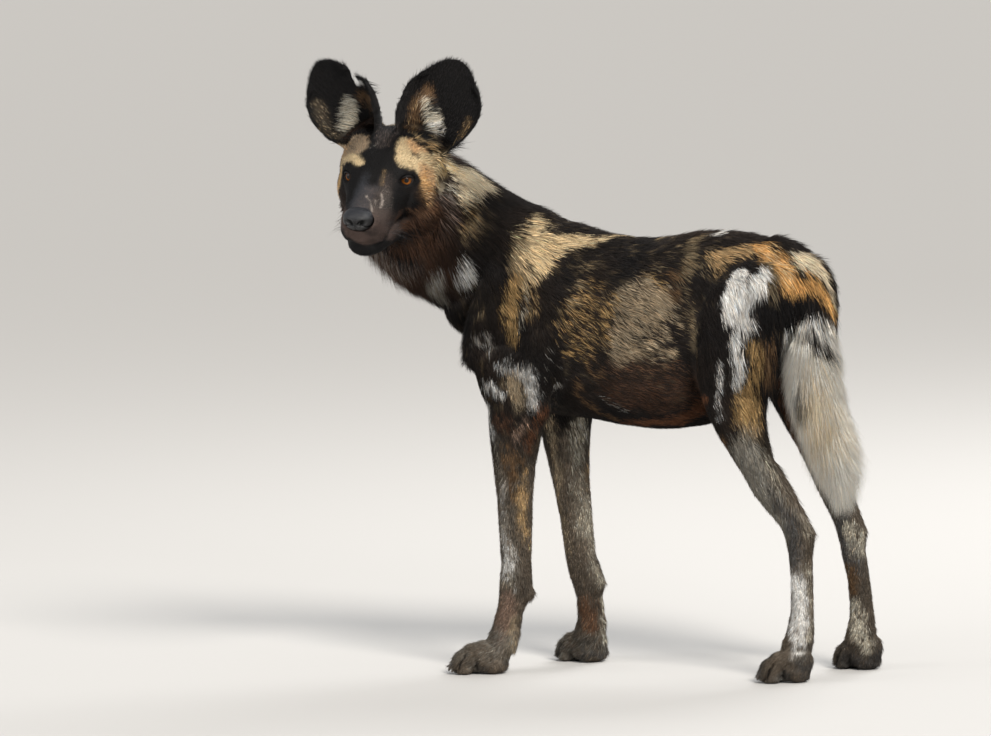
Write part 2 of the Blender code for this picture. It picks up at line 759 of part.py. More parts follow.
def lock(name, root, lie, outward, length, width, thickness, lift, droop):
    """A flat, tapered lock of fur.

    It starts at its root along the lie, lifted outwards by the share lift, and bends towards
    the ground by the share droop. Its flat side faces outwards.
    """
    stops, girth = (np.array(column) for column in zip(*LOCK_GIRTH))
    lie, outward = np.array(lie), np.array(outward)
    start = lie + outward * lift
    start /= np.linalg.norm(start)
    bend = np.array((0, 0, -1.0)) * droop - outward * lift * LOCK_CURL
    reach = stops - LOCK_SUNK
    line = np.array(root) + np.outer(reach, start) * length + np.outer(stops**2, bend) * length
    run = np.gradient(line, axis=0)
    broad = np.cross(run, outward)
    broad /= np.linalg.norm(broad, axis=1)[:, None]
    thick = np.cross(broad, run)
    thick /= np.linalg.norm(thick, axis=1)[:, None]
    bm = bmesh.new()
    rings = []
    for point, share, wide, deep in zip(line, girth, broad * width / 2, thick * thickness / 2):
        corners = (point + wide * share, point + deep * share, point - wide * share, point - deep * share)
        rings.append([bm.verts.new(corner) for corner in corners])
    for ring, after in zip(rings, rings[1:]):
        for k in range(4):
            bm.faces.new((ring[k], ring[(k + 1) % 4], after[(k + 1) % 4], after[k]))
    bm.faces.new(rings[0])
    bm.faces.new(rings[-1])
    return link(name, bm)


def varied(sizes, dice):
    """The lock sizes, each changed a little."""
    return {name: size * dice.uniform(0.85, 1.15) for name, size in sizes.items()}


def tail_locks(dice):
    """Rows of locks round the core of the tail, each row half a step round from the last."""
    core = eased([(*centre, girth) for centre, girth in zip(TAIL_LINE, TAIL_CORE)], 4)
    run = np.gradient(core[:, :3], axis=0)
    run /= np.linalg.norm(run, axis=1)[:, None]
    locks = []
    for row in range(TAIL_LOCK_ROWS):
        for step in range(TAIL_LOCKS_ROUND):
            share = (row + 0.4 + dice.uniform(-0.3, 0.3)) / TAIL_LOCK_ROWS
            at = round((len(core) - 1) * share)
            side = np.cross(run[at], (0, 1, 0))
            side /= np.linalg.norm(side)
            ahead = np.cross(run[at], side)
            turn = 2 * math.pi * (step + 0.5 * (row % 2) + dice.uniform(-0.15, 0.15)) / TAIL_LOCKS_ROUND
            outward = side * math.cos(turn) + ahead * math.sin(turn)
            root = core[at, :3] + outward * core[at, 3] * 0.75
            name = f"tail_lock_{row}_{step}"
            locks.append(lock(name, root, run[at], outward, **varied(TAIL_LOCK, dice)))
    return locks


def ruff_locks(neck, dice):
    """Rows of locks under the throat, rooted where lines from the neck's middle leave its surface."""
    tree = BVHTree.FromPolygons(
        [v.co for v in neck.data.vertices],
        [face.vertices for face in neck.data.polygons],
    )
    middle = eased(NECK, 6)
    side, fore = ring_frames(middle, None)
    run = np.cross(fore, side)
    locks = []
    for row in range(RUFF_LOCK_ROWS):
        share = RUFF_FIRST + (RUFF_LAST - RUFF_FIRST) * row / (RUFF_LOCK_ROWS - 1)
        at = round((len(middle) - 1) * share)
        for step in range(RUFF_LOCKS_ACROSS):
            place = (step + 0.5 * (row % 2) + dice.uniform(-0.15, 0.15)) / (RUFF_LOCKS_ACROSS - 0.5) - 0.5
            turn = place * RUFF_SPAN
            outward = side[at] * math.sin(turn) - fore[at] * math.cos(turn)
            root, _, face, _ = tree.ray_cast(Vector(middle[at, :3]), Vector(outward))
            if root is None:
                continue
            lie = (0, 0, -RUFF_DOWN) - run[at] * (1 - RUFF_DOWN)
            name = f"ruff_lock_{row}_{step}"
            locks.append(lock(name, root, lie, outward, **varied(RUFF_LOCK, dice)))
    return locks


def make_tail_brush(dice):
    """The white brush: a slim core down the tail, with locks that hang past its end."""
    bm = bmesh.new()
    tube(bm, [(*centre, r, r, r) for centre, r in zip(TAIL_LINE, TAIL_CORE)], sides=10, steps=1)
    return join_all(link("tail_brush", bm), tail_locks(dice))


def grown_from(name, colour):
    """A material with the part's own colour."""
    material = bpy.data.materials.get(name) or bpy.data.materials.new(name)
    material.use_nodes = True
    shader = material.node_tree.nodes["Principled BSDF"]
    shader.inputs["Base Color"].default_value = (*colour, 1)
    shader.inputs["Roughness"].default_value = 0.35 if name in ("eye", "nose_leather") else 0.85
    shader.inputs["Metallic"].default_value = 0.0
    return material


def finish(obj, colour):
    obj.data.materials.clear()
    obj.data.materials.append(grown_from(colour, COLOURS[colour]))


def centre_on_floor(nodes):
    """Moves the whole dog so that the middle of its bounding box's base is the origin."""
    corners = np.array([v.co for obj in nodes for v in obj.data.vertices])
    middle = (corners.min(0) + corners.max(0)) / 2
    shift = Matrix.Translation((-middle[0], -middle[1], 0))
    for obj in nodes:
        obj.data.transform(shift)


def main():
    clear_scene()
    dice = random.Random(SEED)
    nodes = []

    rest = melted("torso", body_shapes, "body")
    head = melted("head", head_shapes, "head")
    neck_seam = ((-0.088, -0.13, -0.16), (0.30, 0.13, 0.25))
    seam = HEAD @ Matrix.Rotation(math.radians(-14), 4, "Y")
    carve(head, block("cutter", *neck_seam, seam), "INTERSECT")
    carve(rest, block("cutter", *neck_seam, seam, grow=GAP))
    nose = make_nose()
    carve(head, swollen(nose, "nose_seat", GAP))
    cut_mouth(head)
    for side in MIRROR:
        open_lids(head, side)
        nodes.append((make_eye(side), "eye"))
    for side in MIRROR:
        nodes.append((make_ear(side, head), "dark_coat"))
    nodes += [(head, "tan_coat"), (nose, "nose_leather")]

    for name, paw in PAWS.items():
        foot = melted(name, lambda bm, name=name: paw_shapes(bm, name), "paw")
        cut_sole(foot)
        x, y = paw["heel"]
        inner, outer = sorted((GAP / 2 * MIRROR[paw["side"]], 0.2 * MIRROR[paw["side"]]))
        box = ((x - 0.12, inner, -0.1), (x + 0.07, outer, 0.062))
        carve(foot, block("cutter", *box), "INTERSECT")
        carve(rest, block("cutter", *box, grow=GAP))
        nodes.append((foot, "grey_coat"))

    for side, sign in MIRROR.items():
        inner, outer = sorted((GAP * sign, 0.2 * sign))
        nodes.append((take(rest, "foreleg_" + side, (-0.26, inner, 0), (-0.03, outer, 0.358)), "grey_coat"))
        hock = HIND_LINE[side][HOCK]
        box = ((hock[0] - 0.1, inner, 0), (hock[0] + 0.1, outer, hock[2] + 0.028))
        nodes.append((take(rest, "metatarsus_" + side, *box), "grey_coat"))
        knee = HIND_LINE[side][STIFLE]
        box = ((knee[0] - 0.1, inner, 0), (knee[0] + 0.12, outer, knee[2]))
        nodes.append((take(rest, "shank_" + side, *box), "grey_coat"))
        hip_line = Matrix.Translation((0.235, 0, 0.435)) @ Matrix.Rotation(math.radians(-34), 4, "Y")
        thigh = take(rest, "thigh_" + side, (-0.115, inner, -0.2), (0.2, outer, 0), hip_line)
        nodes.append((thigh, "dark_coat"))

    tail_seam = Matrix.Translation((0.290, 0, 0.575)) @ Matrix.Rotation(math.radians(-40), 4, "Y")
    nodes.append((take(rest, "tail_root", (-0.030, -0.040, -0.2), (0.12, 0.034, 0), tail_seam), "tan_coat"))
    brush = make_tail_brush(dice)
    carve(brush, swollen(rest, "seat", GAP))
    nodes.append((brush, "white_coat"))
    neck_base = Matrix.Translation((-0.185, 0, 0.60)) @ Matrix.Rotation(math.radians(25), 4, "Y")
    neck = take(rest, "neck", (-0.3, -0.3, -0.3), (0, 0.3, 0.3), neck_base)
    join_all(neck, ruff_locks(neck, dice))
    for neighbour in (head, rest):
        carve(neck, swollen(neighbour, "seat", GAP))
    nodes.append((neck, "dark_coat"))
    nodes.append((rest, "dark_coat"))

    for obj, colour in nodes:
        finish(obj, colour)
    centre_on_floor([obj for obj, _ in nodes])


main()
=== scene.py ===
"""Looks of a standing african wild dog, life size: skin, coat, head, ears, tail brush and claws.

The body frame has x towards the tail, -y the dog's own left and z up, with z = 0 on the floor. The head has
its own frame: forward, left and up from a point between the eyes.
"""

import logging
import math
from dataclasses import dataclass, field
from enum import Enum

import bpy
import numpy as np
from mathutils import Matrix, Vector


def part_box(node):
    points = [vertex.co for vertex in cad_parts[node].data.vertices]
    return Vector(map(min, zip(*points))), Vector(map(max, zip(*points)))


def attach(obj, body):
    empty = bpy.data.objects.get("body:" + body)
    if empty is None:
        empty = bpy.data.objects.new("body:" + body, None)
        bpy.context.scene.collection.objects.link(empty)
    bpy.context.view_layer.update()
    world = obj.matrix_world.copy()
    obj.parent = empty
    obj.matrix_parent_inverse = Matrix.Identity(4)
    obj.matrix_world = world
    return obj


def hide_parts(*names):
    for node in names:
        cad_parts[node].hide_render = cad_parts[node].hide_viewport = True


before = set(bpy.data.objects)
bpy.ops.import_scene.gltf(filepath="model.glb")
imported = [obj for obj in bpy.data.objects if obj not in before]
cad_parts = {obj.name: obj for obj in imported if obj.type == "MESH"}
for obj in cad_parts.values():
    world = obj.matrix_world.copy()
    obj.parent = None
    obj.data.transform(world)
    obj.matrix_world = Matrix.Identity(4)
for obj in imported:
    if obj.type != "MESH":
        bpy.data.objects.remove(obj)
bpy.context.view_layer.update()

logging.basicConfig(level=logging.INFO, format="%(message)s")
LOG = logging.getLogger("wild_dog")
Points = np.ndarray
Piece = bpy.types.Object
MM = 0.001
SEED = 20
COLOURS = "Coat"


# -------- frames and small maths


@dataclass(frozen=True)
class Axes:
    """A place with three unit vectors as columns of turn."""

    middle: Points
    turn: Points

    def outwards(self, points: Points) -> Points:
        """Points given here, in the frame of the row."""
        return points @ self.turn.T + self.middle

    def inwards(self, points: Points) -> Points:
        """Points of the row's frame, given here."""
        return (points - self.middle) @ self.turn

    def aimed(self, vectors: Points) -> Points:
        """Directions given here, in the frame of the row."""
        return vectors @ self.turn.T


def unit(vectors: Points) -> Points:
    """Vectors of length one."""
    return vectors / np.maximum(np.linalg.norm(vectors, axis=-1, keepdims=True), 1e-12)


def eased(values: Points, low: float, high: float) -> Points:
    """3 t^2 - 2 t^3 of t, where t runs from 0 at low to 1 at high."""
    t = np.clip((values - low) / (high - low), 0, 1)
    return t * t * (3 - 2 * t)


def blend(base: Points, other: Points, share: Points) -> Points:
    """base (1 - share) + other share."""
    return base * (1 - share) + other * share


EYES_MIDDLE = np.array((-0.2794, -0.2200, 0.7303))
LEFT_EYE = np.array((0.002, 0.040, 0))
HEAD_TURN, HEAD_NOD, HEAD_ROLL = math.radians(100.9), math.radians(-9.1), math.radians(4.5)


def head_turn() -> Points:
    """Columns forward, left and up of the head, in the body frame.

    Returns:
        forward = (-cos t cos n, -sin t cos n, sin n); left is z x forward, rolled about forward;
        up = forward x left.
    """
    t, n = HEAD_TURN, HEAD_NOD
    forward = np.array((-math.cos(t) * math.cos(n), -math.sin(t) * math.cos(n), math.sin(n)))
    level = unit(np.cross((0, 0, 1), forward))
    left = level * math.cos(HEAD_ROLL) - np.cross(forward, level) * math.sin(HEAD_ROLL)
    return np.stack([forward, left, np.cross(forward, left)], axis=1)


@dataclass(frozen=True)
class Stance:
    """Where the body and head frames stand in the row's frame."""

    body: Axes
    head: Axes

    @staticmethod
    def from_frame() -> "Stance":
        """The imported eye's place against its place in the body frame gives the shift."""
        low, high = (np.array(corner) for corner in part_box("eye_left"))
        turn = head_turn()
        shift = (low + high) / 2 - (EYES_MIDDLE + turn @ LEFT_EYE)
        LOG.info("shift of the body frame %s", np.round(shift, 5))
        shift[2] = 0
        return Stance(Axes(shift, np.eye(3)), Axes(EYES_MIDDLE + shift, turn))


class Grain:
    """Seeded smooth noise: random numbers at the corners of a cubic lattice, eased between them."""

    SIZE = 48

    def __init__(self, seed: int, channels: int = 1) -> None:
        """Draws the lattice."""
        rng = np.random.default_rng(seed)
        self.lattice = rng.random((self.SIZE,) * 3 + (channels,)) * 2 - 1

    def at(self, points: Points, scale: float) -> Points:
        """Noise from -1 to 1.

        Args:
            points: places in metres, one a row.
            scale: the lattice's cell in metres.

        Returns:
            One row of channels for each place: the eight corners' numbers, weighted by the eased
            fractions of the place in its cell.
        """
        where = points / scale
        cell = np.floor(where).astype(int)
        part = where - cell
        part = part * part * (3 - 2 * part)
        total = 0
        for corner in np.ndindex(2, 2, 2):
            weight = np.prod(np.where(corner, part, 1 - part), axis=1)[:, None]
            i, j, k = ((cell + corner) % self.SIZE).T
            total = total + weight * self.lattice[i, j, k]
        return total


def chain_reach(points: Points, chain: Points) -> Points:
    """How deep points lie in a string of tapered capsules.

    Args:
        points: places, one a row.
        chain: x, y, z and radius of each joint, one a row.

    Returns:
        The largest over the links of radius - distance: positive inside.
    """
    best = np.full(len(points), -np.inf)
    for a, b in zip(chain, chain[1:] if len(chain) > 1 else chain):
        run = b[:3] - a[:3]
        t = np.clip((points - a[:3]) @ run / max(run @ run, 1e-12), 0, 1)
        gap = np.linalg.norm(points - a[:3] - t[:, None] * run, axis=1)
        best = np.maximum(best, a[3] + t * (b[3] - a[3]) - gap)
    return best


# -------- meshes


def mesh_object(name: str, places: Points, faces: Points) -> Piece:
    """A smooth-shaded object at the origin, from arrays.

    Args:
        name: the piece's name.
        places: vertices, one a row.
        faces: vertex numbers, one face a row, all of the same length.

    Returns:
        The linked object.
    """
    mesh = bpy.data.meshes.new(name)
    count, sides = faces.shape
    mesh.vertices.add(len(places))
    mesh.vertices.foreach_set("co", np.ascontiguousarray(places, np.float32).ravel())
    mesh.loops.add(count * sides)
    mesh.loops.foreach_set("vertex_index", np.ascontiguousarray(faces, np.int32).ravel())
    mesh.polygons.add(count)
    mesh.polygons.foreach_set("loop_start", np.arange(count, dtype=np.int32) * sides)
    mesh.polygons.foreach_set("use_smooth", np.ones(count, bool))
    mesh.update(calc_edges=True)
    mesh.validate()
    obj = bpy.data.objects.new(name, mesh)
    bpy.context.collection.objects.link(obj)
    return obj


def mesh_arrays(mesh: bpy.types.Mesh) -> tuple[Points, Points]:
    """Vertices and triangles of a mesh."""
    places = np.empty(len(mesh.vertices) * 3, np.float32)
    mesh.vertices.foreach_get("co", places)
    mesh.calc_loop_triangles()
    faces = np.empty(len(mesh.loop_triangles) * 3, np.int32)
    mesh.loop_triangles.foreach_get("vertices", faces)
    return places.reshape(-1, 3).astype(float), faces.reshape(-1, 3)


def welded(places: Points, faces: Points) -> tuple[Points, Points]:
    """Loose triangles with their like corners made one."""
    _, first, same = np.unique(np.round(places * 1e6).astype(np.int64), axis=0, return_index=True,
                               return_inverse=True)
    faces = same.reshape(-1)[faces]
    whole = (faces[:, 0] != faces[:, 1]) & (faces[:, 1] != faces[:, 2]) & (faces[:, 0] != faces[:, 2])
    return places[first], faces[whole]


def vertex_normals(places: Points, faces: Points) -> Points:
    """Each vertex's normal: the sum of its faces' normals, by area, of length one."""
    across = np.cross(places[faces[:, 1]] - places[faces[:, 0]], places[faces[:, 2]] - places[faces[:, 0]])
    return unit(np.stack([np.bincount(faces.ravel(), np.repeat(across[:, axis], 3), len(places))
                          for axis in range(3)], axis=1))


def turned_out(places: Points, faces: Points) -> Points:
    """The faces of closed shells, all turned round if the volume inside them comes out negative."""
    a, b, c = np.moveaxis((places - places[0])[faces], 1, 0)
    return faces if np.einsum("ij,ij->", np.cross(a, b), c) > 0 else faces[:, ::-1]


def evaluated(obj: Piece) -> tuple[Points, Points]:
    """Vertices and triangles of an object with its modifiers applied; the object is then removed."""
    shown = obj.evaluated_get(bpy.context.evaluated_depsgraph_get())
    mesh = shown.to_mesh()
    arrays = mesh_arrays(mesh)
    shown.to_mesh_clear()
    data = obj.data
    bpy.data.objects.remove(obj)
    bpy.data.meshes.remove(data)
    return arrays


def paint(obj: Piece, colours: Points) -> None:
    """Stores a colour for each vertex, in the attribute that every finish reads."""
    layer = obj.data.attributes.new(COLOURS, "FLOAT_COLOR", "POINT")
    rgba = np.ones((len(colours), 4), np.float32)
    rgba[:, :3] = colours
    layer.data.foreach_set("color", rgba.ravel())


def spline(rows: Points, steps: int) -> Points:
    """Rows with others between them on Catmull-Rom curves.

    Args:
        rows: the given rows.
        steps: how many rows stand for each given one.

    Returns:
        b + t/2 (c - a + t (2a - 5b + 4c - d + t (3b - a - 3c + d))) for each run a, b, c, d.
    """
    rows = np.array(rows, float)
    padded = np.vstack([2 * rows[0] - rows[1], rows, 2 * rows[-1] - rows[-2]])
    a, b, c, d = padded[:-3, None], padded[1:-2, None], padded[2:-1, None], padded[3:, None]
    t = (np.arange(steps) / steps)[None, :, None]
    made = b + 0.5 * t * (c - a + t * (2 * a - 5 * b + 4 * c - d + t * (3 * b - a - 3 * c + d)))
    return np.vstack([made.reshape(-1, rows.shape[1]), rows[-1]])


def ring_frames(rows: Points, across: Points) -> tuple[Points, Points]:
    """For each row of a run, unit vectors to its side and to its fore side, square to the run."""
    run = unit(np.gradient(rows[:, :3], axis=0))
    side = unit(across - run * (run @ across)[:, None])
    return side, np.cross(side, run)


def lofted(stations: Points, across: Points, sides: int, steps: int) -> tuple[Points, Points]:
    """A closed tube through stations of x, y, z, half width, reach to the fore side and to the aft side.

    Args:
        stations: the rows.
        across: the direction of the widths.
        sides: corners of a ring.
        steps: rings for each station.

    Returns:
        Vertices place + side w cos a + fore r sin a for each ring, with a centre at both ends; triangles.
    """
    rows = spline(stations, steps)
    side, fore = ring_frames(rows, np.asarray(across, float))
    angle = 2 * math.pi * np.arange(sides) / sides
    reach = np.where(np.sin(angle) > 0, rows[:, 4, None], rows[:, 5, None])
    rings = (rows[:, None, :3] + side[:, None] * (rows[:, 3, None] * np.cos(angle))[..., None]
             + fore[:, None] * (reach * np.sin(angle))[..., None])
    places = np.vstack([rings.reshape(-1, 3), rows[0, :3], rows[-1, :3]])
    ring, corner = np.meshgrid(np.arange(len(rows) - 1), np.arange(sides), indexing="ij")
    a, b = ring * sides + corner, ring * sides + (corner + 1) % sides
    body = np.concatenate([np.stack([a, b, b + sides], -1), np.stack([a, b + sides, a + sides], -1)])
    k = np.arange(sides)
    last = (len(rows) - 1) * sides
    start = np.stack([np.full(sides, len(places) - 2), (k + 1) % sides, k], 1)
    stop = np.stack([np.full(sides, len(places) - 1), last + k, last + (k + 1) % sides], 1)
    return places, turned_out(places, np.vstack([body.reshape(-1, 3), start, stop]))


def ellipsoid(centre: Points, radii: Points, rings: int = 24) -> tuple[Points, Points]:
    """A closed ellipsoid: centre + radii (cos u sin v, sin u sin v, cos v), with both poles."""
    v = math.pi * np.arange(1, rings) / rings
    u = 2 * math.pi * np.arange(2 * rings) / (2 * rings)
    grid = np.stack([np.outer(np.sin(v), np.cos(u)), np.outer(np.sin(v), np.sin(u)),
                     np.repeat(np.cos(v)[:, None], len(u), 1)], -1)
    places = np.vstack([grid.reshape(-1, 3), (0, 0, 1), (0, 0, -1)]) * np.asarray(radii) + np.asarray(centre)
    return places, capped_grid(rings - 1, 2 * rings)


def capped_grid(rows: int, sides: int) -> Points:
    """Triangles of rings of sides corners, closed at both ends by the two vertices that follow them."""
    ring, corner = np.meshgrid(np.arange(rows - 1), np.arange(sides), indexing="ij")
    a, b = ring * sides + corner, ring * sides + (corner + 1) % sides
    body = np.concatenate([np.stack([a, a + sides, b + sides], -1), np.stack([a, b + sides, b], -1)])
    k = np.arange(sides)
    top = np.stack([np.full(sides, rows * sides), k, (k + 1) % sides], 1)
    last = (rows - 1) * sides
    foot = np.stack([np.full(sides, rows * sides + 1), last + (k + 1) % sides, last + k], 1)
    return np.vstack([body.reshape(-1, 3), top, foot])


# -------- colours and markings


class Shade(Enum):
    """Colours of the coat, the bare skin, the nose and the claws, linear."""

    BLACK = (0.0085, 0.0080, 0.0082)
    TAN = (0.40, 0.27, 0.135)
    CREAM = (0.61, 0.47, 0.28)
    GOLD = (0.38, 0.245, 0.105)
    ORANGE = (0.60, 0.335, 0.12)
    WHITE = (0.66, 0.645, 0.615)
    GREY = (0.34, 0.32, 0.29)
    GREYTAN = (0.30, 0.235, 0.155)
    OLIVE = (0.165, 0.125, 0.075)
    BROWN = (0.115, 0.068, 0.035)
    RUST = (0.105, 0.045, 0.022)
    RUSTBROWN = (0.13, 0.07, 0.04)
    BROWNGREY = (0.15, 0.12, 0.09)
    SLATE = (0.055, 0.050, 0.046)
    # painted sheen: bluish grey of sky light on the top of the muzzle
    SLATEBLUE = (0.040, 0.042, 0.048)
    MUZZLE = (0.095, 0.066, 0.056)
    PEACH = (0.60, 0.38, 0.20)
    SAND = (0.34, 0.255, 0.17)
    UMBER = (0.058, 0.030, 0.018)
    PINK = (0.42, 0.25, 0.20)
    PINKBROWN = (0.20, 0.135, 0.10)
    SCAR = (0.36, 0.31, 0.27)
    STONE = (0.215, 0.20, 0.17)
    ASH = (0.085, 0.080, 0.075)
    BONE = (0.47, 0.43, 0.345)
    IVORY = (0.74, 0.62, 0.44)
    AMBER = (0.64, 0.42, 0.15)
    SILVER = (0.40, 0.39, 0.37)
    MAUVE = (0.150, 0.115, 0.100)
    MILK = (0.84, 0.80, 0.72)
    GLINT = (0.010, 0.0085, 0.0080)
    LEATHER = (0.0050, 0.0050, 0.0056)
    # painted reflection: the lighter bluish top of the nose leather
    LEATHER_TOP = (0.0080, 0.0090, 0.0120)
    CLAW = (0.030, 0.024, 0.020)
    CLAW_TIP = (0.10, 0.082, 0.065)

    @property
    def rgb(self) -> Points:
        """The colour as an array."""
        return np.array(self.value)


@dataclass(frozen=True)
class Mark:
    """A patch of one colour: a string of capsules in millimetres, in the body's or the head's frame."""

    shade: Shade
    chain: tuple
    cover: float = 1.0
    edge: float = 12.0

    ROOM = 14.0
    EASED = 0.7
    BROKEN = 0.12

    def strength(self, points: Points, bent: Points, speckle: Points) -> Points:
        """How much of each point the patch covers.

        Args:
            points: places in millimetres in the patch's frame.
            bent: the same places, moved by the noise that makes outlines uneven.
            speckle: noise from 0 to 1, which breaks up a patch that doesn't cover wholly.

        Returns:
            0 to 1: the depth in the chain, eased over EASED of the edge on both sides of the outline, and
            thinned. Places more than ROOM outside the chain get none.
        """
        chain = np.array(self.chain, float)
        margin = chain[:, 3].max() + self.ROOM
        low, high = chain[:, :3].min(axis=0) - margin, chain[:, :3].max(axis=0) + margin
        near = np.flatnonzero(((points > low) & (points < high)).all(axis=1))
        result = np.zeros(len(points))
        if len(near):
            depth = chain_reach(bent[near], chain)
            full = eased(depth, -self.edge * self.EASED, self.edge * self.EASED)
            result[near] = self.thinned(full, speckle[near])
        return result

    def thinned(self, full: Points, speckle: Points) -> Points:
        """Whole where the speckle is above 1 - cover and bare below, eased over BROKEN on both sides."""
        bare = 1 - self.cover
        return full * eased(speckle, bare - self.BROKEN, bare + self.BROKEN) if bare > 0 else full


class Hairs(Mark):
    """A patch whose hairs stand singly among the others, so that it tints them evenly."""

    def thinned(self, full: Points, speckle: Points) -> Points:
        """The strength times cover."""
        return full * self.cover


